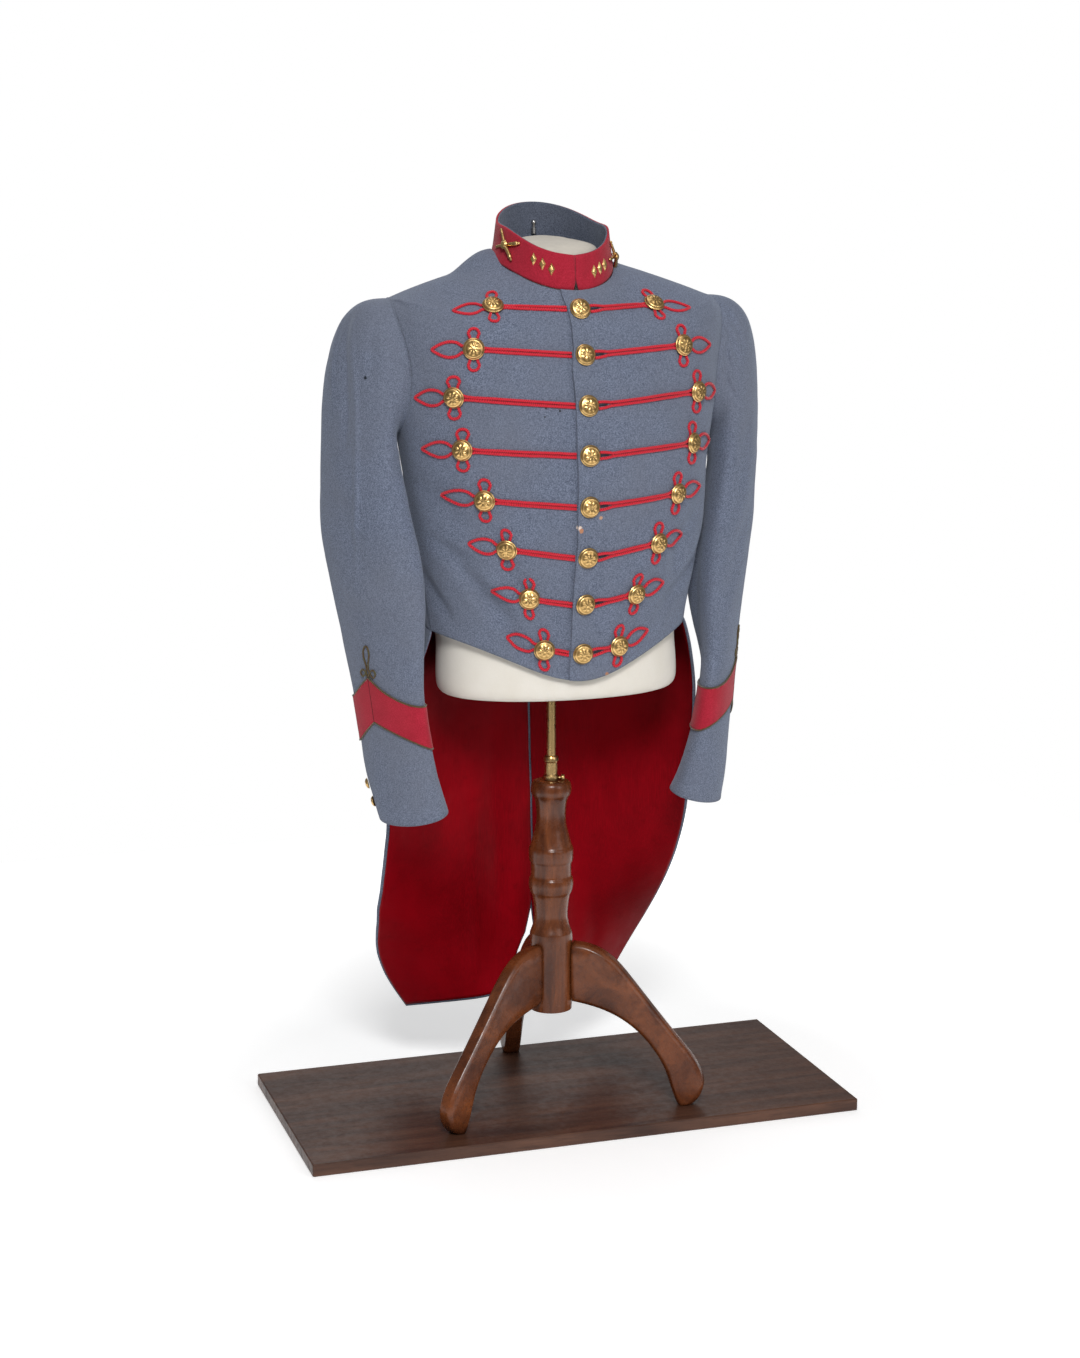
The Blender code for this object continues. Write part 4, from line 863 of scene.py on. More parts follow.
def wood_finish(name, colour, grain_scale, gloss, stretch, scratches=0.4):
    """Varnished timber: long grain, dark pores, worn edges and small knocks."""
    finish = Finish(name, 0.4)
    run = finish.mapped(finish.place, stretch)
    bands = finish.noise(grain_scale, 5.0, 0.62, run, 0.5)
    pores = finish.noise(grain_scale * 7.0, 3.0, 0.7, run)
    patches = finish.noise(11.0, 4.0, 0.6)
    knocks = finish.noise(95.0, 4.0, 0.7)
    base = finish.over(tinted(colour, 0.55, (0.9, 0.85, 0.85)), bands, 0.34, 0.68,
                       tinted(colour, 1.55, (1.0, 1.06, 1.0)))
    base = finish.over(base, pores, 0.52, 0.72, tinted(colour, 0.35), 0.60)
    base = finish.over(base, patches, 0.46, 0.74, tinted(colour, 0.50, (1.1, 0.9, 0.85)), 0.45)
    base = finish.over(base, knocks, 0.70, 0.80, tinted(colour, 2.6, (1.0, 1.1, 1.15)), scratches)
    finish.shade("Base Color", base)
    finish.shade("Roughness", finish.range(knocks, 0.35, 0.75, gloss, gloss + 0.22))
    finish.shade("Specular IOR Level", 0.36)
    finish.relief(pores, 0.0003, 0.25)
    return finish.material


def plain_finish(name, colour, roughness, metallic=0.0):
    """A small part's finish with slight mottling."""
    finish = Finish(name, roughness, metallic)
    mottle = finish.noise(300.0, 4.0, 0.65)
    finish.shade("Base Color", finish.over(tinted(colour, 0.72), mottle, 0.3, 0.75,
                                           tinted(colour, 1.2)))
    finish.relief(mottle, 0.0002, 0.4)
    return finish.material


def shared_material(name, make, *values):
    """The finish of that name, made the first time that it is asked for."""
    return bpy.data.materials.get(name) or make(name, *values)


def blue_wool():
    return shared_material("blue_grey_melton", wool_finish,
                           tuple(bpy.context.scene.coatee_cloth.wool_colour), WOOL_SPOTS)


def red_facing():
    return shared_material("red_facing_cloth", facing_finish,
                           tuple(bpy.context.scene.coatee_cloth.facing_colour))


def dark_gold_cord():
    return shared_material("dark_gold_cord", cord_finish,
                           tuple(bpy.context.scene.coatee_trim.edging_colour), 0.55, 500.0)


def gilt_brass():
    return shared_material("aged_gilt_brass", brass_finish,
                           tuple(bpy.context.scene.coatee_trim.gilt_colour), 0.30, 0.55)


def button_gilt():
    return shared_material("gilt_buttons", button_finish,
                           tuple(bpy.context.scene.coatee_trim.gilt_colour))


def swept_cord(name, route, thickness, closed=False):
    """A round cord along a route of places, with a map that runs along it in metres."""
    curve = bpy.data.curves.new(name, "CURVE")
    curve.dimensions = "3D"
    curve.bevel_depth = 0.5 * thickness
    curve.bevel_resolution = 2
    curve.use_fill_caps = not closed
    spline = curve.splines.new("POLY")
    spline.points.add(len(route) - 1)
    for point, place in zip(spline.points, route):
        point.co = (place.x, place.y, place.z, 1.0)
    spline.use_cyclic_u = closed
    length = sum((b - a).length for a, b in zip(route, route[1:]))
    cord = baked(added_object(name, curve))
    stretch_map(cord.data, length)
    for face in cord.data.polygons:
        face.use_smooth = True
    return cord


def stretch_map(mesh, length):
    layer = mesh.uv_layers.active
    if layer is None:
        return
    values = np.empty(2 * len(layer.data))
    layer.data.foreach_get("uv", values)
    values[0::2] *= length
    layer.data.foreach_set("uv", values)


def spline_through(places, step):
    """Points about a step apart on a smooth line through the places."""
    places = [Vector(place) for place in places]
    line = []
    for i, (b, c) in enumerate(zip(places, places[1:])):
        a = places[max(0, i - 1)]
        d = places[min(len(places) - 1, i + 2)]
        parts = max(2, int(math.ceil((c - b).length / step)))
        for k in range(parts):
            t = k / parts
            line.append(0.5 * ((2.0 * b) + (c - a) * t + (2.0 * a - 5.0 * b + 4.0 * c - d) * t * t
                               + (3.0 * b - a - 3.0 * c + d) * t ** 3))
    line.append(places[-1])
    return line


def spun(profile, sides):
    """A closed mesh: a profile of (radius, height) pairs, spun about the upright axis."""
    bm = bmesh.new()
    line = [bm.verts.new((radius, 0.0, height)) for radius, height in profile]
    edges = [bm.edges.new(pair) for pair in zip(line, line[1:])]
    bmesh.ops.spin(bm, geom=line + edges, cent=(0.0, 0.0, 0.0), axis=(0.0, 0.0, 1.0),
                   dvec=(0.0, 0.0, 0.0), angle=2.0 * math.pi, steps=sides, use_merge=True,
                   use_normal_flip=False, use_duplicate=False)
    bmesh.ops.remove_doubles(bm, verts=bm.verts, dist=1e-6)
    bmesh.ops.recalc_face_normals(bm, faces=bm.faces)
    return bm


def placed(name, bm, place, turn):
    """The smooth piece of a mesh, turned by a quaternion and moved to its place."""
    bmesh.ops.transform(bm, matrix=Matrix.Translation(place) @ turn.to_matrix().to_4x4(),
                        verts=bm.verts)
    for face in bm.faces:
        face.smooth = True
    return object_from_bmesh(name, bm)


def turned(name, profile, centre=Vector((0.0, 0.0, 0.0)), sides=48, direction=UP):
    """A turned piece that stands on its centre along a direction."""
    return placed(name, spun(profile, sides), centre, direction.to_track_quat("Z", "Y"))


def button_mesh(name, place, normal, radius, twist):
    """A domed button with a turned rim and a plain eight-petalled rosette in low relief."""
    thick = radius / 0.0120
    profile = [(0.0, 0.0), (0.0100, 0.0), (0.0117, 0.0003), (0.0120, 0.0009), (0.0117, 0.0016),
               (0.0111, 0.0019)]
    for k in range(1, 21):
        angle = 0.5 * math.pi * k / 20.0
        profile.append((0.0109 * math.cos(angle), 0.0019 + 0.0043 * math.sin(angle)))
    profile[-1] = (0.0, 0.0062)
    bm = spun([(r * thick, z * thick) for r, z in profile], 56)
    raised = bm.verts.layers.float.new("raised")
    for vertex in bm.verts:
        reach = math.hypot(vertex.co.x, vertex.co.y) / radius
        vertex[raised] = 0.8
        if vertex.co.z > 0.0018 * thick and reach < 0.92:
            around = math.atan2(vertex.co.y, vertex.co.x)
            petal = math.cos(4.0 * around) ** 2
            ring = math.exp(-((reach - 0.80) / 0.06) ** 2)
            flower = petal * math.exp(-((reach - 0.42) / 0.17) ** 2)
            heart = math.exp(-(reach / 0.13) ** 2)
            vertex.co.z += thick * (0.00034 * ring + 0.00075 * flower + 0.00045 * heart)
            vertex[raised] = min(1.0, 0.22 + ring + flower + heart)
    turn = normal.to_track_quat("Z", "Y") @ Matrix.Rotation(twist, 3, "Z").to_quaternion()
    return placed(name, bm, place, turn)


def front_skin(side_word):
    return Skin(bpy.data.objects["cloth_front_" + side_word].data)


class MakeStage(bpy.types.Operator):
    """Camera, floor and soft lights"""
    bl_idname = "coatee.make_stage"
    bl_label = "Stage"

    def execute(self, context):
        stage = context.scene.coatee_stage
        camera = bpy.data.cameras.new("camera")
        camera.lens = stage.lens
        camera.sensor_width = 36.0
        camera.clip_end = 60.0
        viewer = added_object("camera", camera)
        viewer.location = CAMERA_PLACE
        aim = Vector(CAMERA_TARGET) - viewer.location
        viewer.rotation_euler = aim.to_track_quat("-Z", "Y").to_euler()
        context.scene.camera = viewer
        bm = bmesh.new()
        bmesh.ops.create_grid(bm, x_segments=1, y_segments=1, size=0.5 * stage.floor_size)
        floor = object_from_bmesh("floor", bm)
        paint = Finish("pale_floor", 0.75)
        paint.shade("Base Color", (0.88, 0.88, 0.88))
        paint.shade("Emission Color", (1.0, 1.0, 1.0))
        glow = paint.range(paint.distance((0.0, 0.0, 0.0)), 0.40, 1.05, 0.34, 0.95)
        paint.shade("Emission Strength", glow)
        floor.data.materials.append(paint.material)
        for name, place, size, power in LAMPS:
            light = bpy.data.lights.new(name, "AREA")
            light.shape = "SQUARE"
            light.size = size
            light.energy = power * stage.light_strength
            lamp = added_object(name, light)
            lamp.location = place
            aim = Vector(LAMP_TARGET) - Vector(place)
            lamp.rotation_euler = aim.to_track_quat("-Z", "Y").to_euler()
        world = bpy.data.worlds.new("studio")
        world.use_nodes = True
        background = world.node_tree.nodes["Background"]
        background.inputs["Color"].default_value = (1.0, 1.0, 1.0, 1.0)
        path = world.node_tree.nodes.new("ShaderNodeLightPath")
        strength = world.node_tree.nodes.new("ShaderNodeMapRange")
        strength.inputs["To Min"].default_value = 0.22
        strength.inputs["To Max"].default_value = 1.0
        world.node_tree.links.new(path.outputs["Is Camera Ray"], strength.inputs["Value"])
        world.node_tree.links.new(strength.outputs[0], background.inputs["Strength"])
        context.scene.world = world
        context.scene.view_settings.view_transform = "Standard"
        return {"FINISHED"}


class MakeFronts(bpy.types.Operator):
    """Both fronts of the body"""
    bl_idname = "coatee.make_fronts"
    bl_label = "Fronts"

    def execute(self, context):
        unevenness = context.scene.coatee_cloth.unevenness
        for word, side in SIDES:
            node = "front_" + word
            piece = grown_cloth(node)
            lay_cloth(piece, outward_torso, TORSO_FOLDS,
                      ("sleeve_" + word, "collar", "tail_" + word), unevenness)
            if side > 0.0:
                self.wave_edge(piece)
            finished(piece, blue_wool(), "blue_grey_wool", node)
        return {"FINISHED"}

    def wave_edge(self, piece):
        """The lapped edge wanders a little and stands off the front below it."""
        points = mesh_points(piece.data)
        across = points[:, 0] - STAND_AXIS.x
        past = np.maximum(0.0, across + FRONT_EDGE_X)
        held = smoothstep((points[:, 2] - 0.545) / 0.03) * smoothstep((0.965 - points[:, 2]) / 0.02)
        steps = held * np.interp(points[:, 2], EDGE_HEIGHTS, EDGE_STEPS)
        curls = held * EDGE_CURL * np.interp(points[:, 2], EDGE_HEIGHTS, EDGE_CURLS)
        shift = EDGE_SHIFT * smoothstep((0.975 - points[:, 2]) / 0.02)
        points[:, 0] += np.exp(-past / 0.012) * (shift + steps)
        points[:, 1] -= np.exp(-past / 0.006) * curls
        set_mesh_points(piece.data, points)


class MakeBack(bpy.types.Operator):
    """The back and its curved seams"""
    bl_idname = "coatee.make_back"
    bl_label = "Back"

    def execute(self, context):
        piece = grown_cloth("back")
        lay_cloth(piece, outward_torso, TORSO_FOLDS,
                  ("sleeve_left", "sleeve_right", "collar", "tail_left", "tail_right"),
                  context.scene.coatee_cloth.unevenness)
        points = mesh_points(piece.data)
        directions = outward_torso(points)
        flat = points - np.array(STAND_AXIS)
        moves = np.zeros(len(points))
        behind = flat[:, 1] > 0.02
        for side in (-1.0, 1.0):
            height = np.clip((flat[:, 2] - 0.61) / 0.32, 0.0, 1.0)
            seam = side * (0.034 + 0.085 * height ** 1.7)
            moves -= np.where(behind, 0.0012 * np.exp(-((flat[:, 0] - seam) / 0.0016) ** 2), 0.0)
        moves -= np.where(behind, 0.0012 * np.exp(-(flat[:, 0] / 0.0016) ** 2), 0.0)
        moves *= held_share(points, ("sleeve_left", "sleeve_right", "collar"), 0.006, 0.001)
        set_mesh_points(piece.data, points + directions * moves[:, None])
        finished(piece, blue_wool(), "blue_grey_wool", "back")
        return {"FINISHED"}


def is_sharp(edge):
    return edge.calc_face_angle(0.0) > math.radians(SHARP_RIM)


def sharp_loops(mesh):
    """The crisp rims of a piece as closed lines of places."""
    bm = bmesh.new()
    bm.from_mesh(mesh)
    sharp = [edge for edge in bm.edges if is_sharp(edge)]
    lines = [[vertex.co.copy() for vertex in loop] for loop in walked_loops(sharp)]
    bm.free()
    return [line for line in lines if len(line) > 30]


def line_length(line):
    return sum((b - a).length for a, b in zip(line, line[1:]))


def walked_loops(edges):
    """Sorts edges into closed loops of vertices."""
    links = {}
    for edge in edges:
        for one, other in (edge.verts, reversed(edge.verts)):
            links.setdefault(one, []).append(other)
    left = set(links)
    loops = []
    while left:
        here = min(left, key=lambda vertex: vertex.index)
        left.discard(here)
        loop = [here]
        while True:
            onward = [vertex for vertex in links[here] if vertex in left]
            if not onward:
                break
            here = onward[0]
            left.discard(here)
            loop.append(here)
        loops.append(loop)
    return loops


class MakeSleeves(bpy.types.Operator):
    """Both sleeves"""
    bl_idname = "coatee.make_sleeves"
    bl_label = "Sleeves"

    def execute(self, context):
        unevenness = context.scene.coatee_cloth.unevenness
        for word, side in SIDES:
            node = "sleeve_" + word
            folds = SLEEVE_FOLDS_LEFT if side > 0.0 else SLEEVE_FOLDS_RIGHT
            piece = grown_cloth(node)
            lay_cloth(piece, outward_sleeve, folds, ("front_" + word, "back"), unevenness,
                      reach=0.010, seed=5.3 + side, leans=SLEEVE_LEANS)
            finished(piece, blue_wool(), "blue_grey_wool", node)
            welt = swept_cord("armhole_seam_" + word, self.head_rim(piece), 0.0018, closed=True)
            finished(welt, blue_wool(), "blue_grey_wool")
        return {"FINISHED"}

    def head_rim(self, piece):
        """The outer rim of the sleeve's head, where it is sewn to the body."""
        lines = sharp_loops(piece.data)
        lines.sort(key=lambda line: sum(place.z for place in line) / len(line))
        return max(lines[-2:], key=line_length)


def band_rims(piece, skin):
    """Lays a band close on its sleeve and returns its two outer edges as closed lines."""
    bm = bmesh.new()
    bm.from_mesh(piece.data)
    gaps = {vertex: skin.nearest(vertex.co) for vertex in bm.verts}
    sharp = []
    for edge in bm.edges:
        run = (edge.verts[1].co - edge.verts[0].co).normalized()
        through_the_wall = abs(run.dot(gaps[edge.verts[0]][1])) > 0.7
        if is_sharp(edge) and not through_the_wall:
            sharp.append(edge)
    loops = [loop for loop in walked_loops(sharp) if len(loop) > 30]
    loops.sort(key=lambda loop: sum(gaps[vertex][2] for vertex in loop) / len(loop))
    if len(loops) != 4:
        raise RuntimeError("the cuff band has %d edges" % len(loops))
    sharp = set(sharp)
    outer_rim = set(loops[2]) | set(loops[3])
    outer_side = set()
    start = max(gaps, key=lambda vertex: gaps[vertex][2] if vertex not in outer_rim else 0.0)
    waiting = list(start.link_faces)
    seen = set(waiting)
    while waiting:
        face = waiting.pop()
        outer_side.update(face.verts)
        for edge in face.edges:
            if edge in sharp:
                continue
            for other in edge.link_faces:
                if other not in seen:
                    seen.add(other)
                    waiting.append(other)
    for vertex in bm.verts:
        place, normal, distance = gaps[vertex]
        if vertex in outer_side or vertex in outer_rim:
            lift = BAND_LIFT
        else:
            share = max(0.0, min(1.0, (distance - 0.0006) / 0.0013))
            lift = BAND_UNDERSIDE_LIFT + share * (BAND_LIFT - BAND_UNDERSIDE_LIFT)
        vertex.co = place + normal * lift
    rims = [[vertex.co.copy() for vertex in loop] for loop in loops[2:]]
    bm.to_mesh(piece.data)
    bm.free()
    return rims


class MakeCuffs(bpy.types.Operator):
    """Red bands, their cord edging and knots, and the small cuff buttons"""
    bl_idname = "coatee.make_cuffs"
    bl_label = "Cuffs"

    def execute(self, context):
        trim = context.scene.coatee_trim
        for word, side in SIDES:
            node = "cuff_band_" + word
            skin = Skin(bpy.data.objects["cloth_sleeve_" + word].data)
            piece = grown_cloth(node)
            rims = band_rims(piece, skin)
            finished(piece, red_facing(), "red_wool", node)
            self.make_seam(word, Skin(piece.data), rims)
            for number, rim in enumerate(rims):
                lifted = []
                for place in rim:
                    spot, normal, _ = skin.nearest(place)
                    lifted.append(spot + normal * EDGING_LIFT)
                cord = swept_cord("cuff_edging_%s_%d" % (word, number), lifted,
                                  trim.edging_thickness, closed=True)
                finished(cord, dark_gold_cord(), "old_brass")
            self.make_knot(word, side, skin, rims, trim)
            self.make_buttons(word, side, skin, trim)
        return {"FINISHED"}

    def make_seam(self, word, skin, rims):
        """The seam down the band from one peak of the chevron to the other."""
        shade = shared_material("red_seam", plain_finish,
                                tinted(bpy.context.scene.coatee_cloth.facing_colour, 0.30), 0.9)
        high, low = sorted((max(rim, key=lambda place: place.z) for rim in rims),
                           key=lambda place: -place.z)
        line = []
        for k in range(13):
            spot, normal, _ = skin.nearest(high.lerp(low, k / 12.0))
            line.append(spot - normal * 0.0001)
        seam = swept_cord("cuff_seam_" + word, line, 0.0010)
        finished(seam, shade, "red_wool")

    def make_knot(self, word, side, skin, rims, trim):
        upper = max(rims, key=lambda rim: sum(place.z for place in rim) / len(rim))
        peak = max(upper, key=lambda place: place.z)
        spot, normal, _ = skin.nearest(peak)
        across = UP.cross(normal).normalized() * side
        rise = normal.cross(UP.cross(normal).normalized()).normalized()
        flat = spline_through([(x, z, 0.0) for x, z in KNOT_ROUTE], 0.0012)
        line = []
        for k, (x, z, _) in enumerate(flat):
            spot_on, outward, _ = skin.nearest(spot + across * x + rise * z)
            over = 0.0006 * (0.5 + 0.5 * math.sin(k * 0.9))
            line.append(spot_on + outward * (0.0007 + over * 0.6))
        knot = swept_cord("cuff_knot_" + word, line, trim.edging_thickness)
        finished(knot, dark_gold_cord(), "old_brass")

    def make_buttons(self, word, side, skin, trim):
        points = mesh_points(bpy.data.objects["cloth_sleeve_" + word].data)
        heights, middles = sleeve_middle_line(points)
        for number, height in enumerate(CUFF_BUTTON_HEIGHTS, start=1):
            middle = Vector((float(np.interp(height, heights, middles[:, 0])),
                             float(np.interp(height, heights, middles[:, 1])), height))
            outward = Vector((side * 0.78, 0.626, 0.0))
            spot, normal, _, _ = skin.tree.ray_cast(middle + outward * 0.12, -outward)
            button = button_mesh("cuff_button_%s_%d" % (word, number), spot + normal * 0.0010,
                                 normal, trim.cuff_button_radius, 0.4 * number)
            finished(button, button_gilt(), "gilt_brass")


class MakeTails(bpy.types.Operator):
    """Both tails and their satin linings"""
    bl_idname = "coatee.make_tails"
    bl_label = "Tails"

    def execute(self, context):
        cloth = context.scene.coatee_cloth
        satin = shared_material("deep_red_satin", satin_finish, tuple(cloth.satin_colour))
        for word, _ in SIDES:
            for kind, finish, slot in (("tail", blue_wool(), "blue_grey_wool"),
                                       ("tail_lining", satin, "red_satin")):
                node = kind + "_" + word
                piece = grown_cloth(node)
                lay_cloth(piece, outward_tails, TAIL_FOLDS,
                          ("back", "front_" + word), cloth.unevenness * 1.6, reach=0.05)
                self.close_vent(piece, word)
                finished(piece, finish, slot, node)
        return {"FINISHED"}

    def close_vent(self, piece, word):
        """Draws a tail's inner edge toward the wearer's left, as it hangs."""
        points = mesh_points(piece.data)
        across = points[:, 0] - STAND_AXIS.x
        steps = np.interp(points[:, 2], *VENT_STEPS[word])
        points[:, 0] += steps * np.exp(-np.abs(across) / VENT_REACH)
        set_mesh_points(piece.data, points)


class MakeCollar(bpy.types.Operator):
    """Standing collar, its lining, its brass pieces and the post inside"""
    bl_idname = "coatee.make_collar"
    bl_label = "Collar"

    def execute(self, context):
        # Painted shade: the collar's lining is the blue-grey wool at 0.62 of its colour, for the
        # shade inside the collar.
        lining_wool_in_shade = shared_material("worn_lining_wool", wool_finish,
                                    tinted(context.scene.coatee_cloth.wool_colour, 0.62))
        for node, finish, slot in (("collar", red_facing(), "red_wool"),
                                   ("collar_lining", lining_wool_in_shade, "blue_grey_wool")):
            piece = grown_cloth(node)
            lay_cloth(piece, outward_torso, COLLAR_FOLDS, (), 0.0004, leans=COLLAR_LEANS)
            self.close_front(piece)
            finished(piece, finish, slot, node)
        skin = Skin(bpy.data.objects["cloth_collar"].data)
        self.make_rods(skin)
        self.make_studs(skin)
        self.make_post()
        return {"FINISHED"}

    def close_front(self, piece):
        """Brings the two front edges together, apart from a small notch at their foot."""
        points = mesh_points(piece.data)
        across = points[:, 0] - STAND_AXIS.x
        front = points[:, 1] < STAND_AXIS.y
        for side in (-1.0, 1.0):
            here = front & (side * across > 0.0)
            edge = (side * across[here]).min()
            past = side * across[here] - edge
            wanted = 0.0002 + 0.0028 * smoothstep((0.990 - points[here, 2]) / 0.016)
            points[here, 0] += side * (wanted - edge) * np.exp(-past / 0.008)
        set_mesh_points(piece.data, points)

    def make_post(self):
        """A small steel post that stands up inside the collar at the back of the neck."""
        steel = shared_material("worn_steel", plain_finish, (0.42, 0.41, 0.40), 0.32, 1.0)
        profile = [(0.0, -0.0060), (0.0029, -0.0060), (0.0029, 0.0), (0.0022, 0.0006),
                   (0.0022, 0.0048), (0.0027, 0.0056), (0.0027, 0.0076), (0.0019, 0.0090),
                   (0.0, 0.0094)]
        post = turned("neck_post", profile, from_axis((0.0018, 0.0715, 1.0430)), 20)
        finished(smooth_shaded(post, 40.0), steel, "old_brass")

    def make_rods(self, skin):
        """Two crossed turned rods with a round boss, one pair at each side of the collar."""
        profile = [(0.0, -0.0218), (0.0013, -0.0214), (0.0017, -0.0202), (0.0012, -0.0188),
                   (0.0011, -0.0172), (0.0017, -0.0164), (0.0015, -0.0150), (0.0018, -0.0070),
                   (0.0021, 0.0030), (0.0024, 0.0120), (0.0022, 0.0150), (0.0028, 0.0164),
                   (0.0022, 0.0178), (0.0012, 0.0190), (0.0018, 0.0202), (0.0012, 0.0216),
                   (0.0, 0.0220)]
        for name, place in (("right", (-0.0608, -0.0286, 1.0258)),
                            ("left", (0.0584, -0.0394, 1.0121))):
            spot, normal, _ = skin.nearest(from_axis(place))
            level = UP.cross(normal).normalized()
            rise = normal.cross(level).normalized()
            for number, slope in enumerate((6.0, -54.0)):
                angle = math.radians(slope)
                along = level * math.cos(angle) + rise * math.sin(angle)
                across = normal.cross(along)
                rod = turned("collar_rod_%s_%d" % (name, number), profile, sides=16)
                lift = 0.0018 + 0.0010 * number
                for vertex in rod.data.vertices:
                    base, outward, _ = skin.nearest(spot + along * vertex.co.z)
                    over = 0.0022 * number * math.exp(-(vertex.co.z / 0.006) ** 2)
                    vertex.co = (base + outward * (vertex.co.x + lift + over)
                                 + across * vertex.co.y)
                finished(smooth_shaded(rod, 60.0), gilt_brass(), "gilt_brass")
            boss = turned("collar_boss_" + name,
                          [(0.0, 0.0), (0.0048, 0.0), (0.0052, 0.0007), (0.0047, 0.0014),
                           (0.0040, 0.0014), (0.0035, 0.0022), (0.0018, 0.0031), (0.0, 0.0034)],
                          spot + normal * 0.0050, 24, normal)
            finished(smooth_shaded(boss, 50.0), gilt_brass(), "gilt_brass")

    def make_studs(self, skin):
        """A short row of lozenge studs toward the front at each side."""
        rows = {
            "right": ((-0.0420, -0.0628, 1.0110), (-0.0343, -0.0707, 1.0058),
                      (-0.0258, -0.0772, 1.0004)),
            "left": ((0.0245, -0.0780, 0.9975), (0.0325, -0.0725, 1.0010),
                     (0.0400, -0.0658, 1.0045)),
        }
        for name, places in rows.items():
            for number, place in enumerate(places):
                spot, normal, _ = skin.nearest(from_axis(place))
                bm = bmesh.new()
                bmesh.ops.create_cone(bm, cap_ends=True, segments=4, radius1=0.0058,
                                      radius2=0.0030, depth=0.0022)
                bmesh.ops.bevel(bm, geom=list(bm.edges), offset=0.00035, offset_type="OFFSET",
                                segments=2, profile=0.5, affect="EDGES", material=-1)
                bmesh.ops.scale(bm, vec=(0.76, 1.32, 1.0), verts=bm.verts)
                stud = placed("collar_stud_%s_%d" % (name, number), bm, spot + normal * 0.0010,
                              normal.to_track_quat("Z", "Y"))
                finished(smooth_shaded(stud, 30.0), gilt_brass(), "gilt_brass")


def figure_route(row, side):
    """One braid figure as (x, z, across): a spot seen from the front and a step over the cloth."""
    outer = Vector((row.outer_x, row.outer_z))
    tip = Vector((row.tip_x, row.tip_z))
    reach = tip - outer
    route = []
    if side > 0.0:
        start = Vector((0.0112, row.centre_z))
        route.append((start, BUTTONHOLE_HALF_WIDTH))
        hole_end = start.lerp(outer, BUTTONHOLE_LENGTH / (outer - start).length)
        route.append((start.lerp(hole_end, 0.35), BUTTONHOLE_HALF_WIDTH * 0.95))
        route.append((start.lerp(hole_end, 0.70), BUTTONHOLE_HALF_WIDTH * 0.72))
        start = hole_end
    else:
        start = Vector((FRONT_EDGE_X - EDGE_SHIFT + 0.0006, row.centre_z))
    stop = outer - (outer - start).normalized() * 0.0114
    for i in range(5):
        route.append((start.lerp(stop, i / 4.0), CORD_PAIR_OFFSET))
    along = reach.normalized()
    route.append((outer - along * 0.0034, 0.0070))
    for degrees in (218.0, 180.0, 130.0, 90.0, 50.0, 0.0, -38.0):
        angle = math.radians(degrees)
        route.append((outer + along * (SMALL_LOOP_RADIUS * math.cos(angle)),
                      SMALL_LOOP_CENTRE + SMALL_LOOP_RADIUS * math.sin(angle)))
    route.append((outer + along * 0.0034, 0.0070))
    route.append((outer + reach * 0.26, 0.0034))
    route.append((outer + reach * 0.42, LEAF_HALF_WIDTH * 0.86))
    route.append((outer + reach * 0.60, LEAF_HALF_WIDTH))
    route.append((outer + reach * 0.78, LEAF_HALF_WIDTH * 0.76))
    route.append((outer + reach * 0.95, LEAF_HALF_WIDTH * 0.26))
    half = [(spot.x, spot.y, across) for spot, across in route]
    return half + [(tip.x, tip.y, 0.0)] + [(x, z, -across) for x, z, across in reversed(half)]


class MakeBraid(bpy.types.Operator):
    """The cord laid on both fronts, with buttonholes beside the centre buttons"""
    bl_idname = "coatee.make_braid"
    bl_label = "Braid"

    def execute(self, context):
        trim = context.scene.coatee_trim
        cord_red = shared_material("red_cord", cord_finish, tuple(trim.braid_colour))
        # Painted shade: each buttonhole's opening is a near-black line, for the shade in the slit.
        slit_shade = shared_material("worked_slit", plain_finish, (0.018, 0.022, 0.032), 0.9)
        for word, side in SIDES:
            skin = front_skin(word)
            for number, row in enumerate(BUTTON_ROWS, start=1):
                line = []
                for x, z, across in spline_through(figure_route(row, side), 0.0016):
                    spot, normal = skin.seen_from_front(STAND_AXIS.x + side * x, z)
                    rise = normal.cross(UP.cross(normal)).normalized()
                    spot, normal, _ = skin.nearest(spot + rise * across + normal * 0.004)
                    line.append(spot + normal * CORD_LIFT)
                cord = swept_cord("cord_%s_%d" % (word, number), line, trim.cord_thickness)
                finished(cord, cord_red, "red_braid", "braid_%s_%d" % (word, number))
                if side > 0.0:
                    self.make_slit(number, row, skin, slit_shade)
        return {"FINISHED"}

    def make_slit(self, number, row, skin, finish):
        slope = (row.outer_z - row.centre_z) / row.outer_x
        line = []
        for k in range(7):
            x = 0.0105 + 0.0019 * k
            spot, normal = skin.seen_from_front(STAND_AXIS.x + x, row.centre_z + slope * (x - 0.011))
            line.append(spot + normal * 0.0001)
        # The line is painted shade in the buttonhole's opening.
        cord = swept_cord("buttonhole_%d" % number, line, 0.0022)
        finished(cord, finish, "blue_grey_wool")


class MakeButtons(bpy.types.Operator):
    """Three rows of eight domed buttons"""
    bl_idname = "coatee.make_buttons"
    bl_label = "Buttons"

    def execute(self, context):
        radius = context.scene.coatee_trim.button_radius
        skins = {word: front_skin(word) for word, _ in SIDES}
        for number, row in enumerate(BUTTON_ROWS, start=1):
            spot, normal = skins["left"].seen_from_front(STAND_AXIS.x, row.centre_z)
            button = button_mesh("domed_button_centre_%d" % number,
                                 spot + normal * CENTRE_BUTTON_LIFT, normal, radius, 0.7 * number)
            finished(button, button_gilt(), "gilt_brass", "button_centre_%d" % number)
            for word, side in SIDES:
                spot, normal = skins[word].seen_from_front(STAND_AXIS.x + side * row.outer_x,
                                                           row.outer_z)
                button = button_mesh("domed_button_%s_%d" % (word, number),
                                     spot + normal * OUTER_BUTTON_LIFT, normal, radius,
                                     0.5 * number + side)
                finished(button, button_gilt(), "gilt_brass", "button_%s_%d" % (word, number))
        return {"FINISHED"}


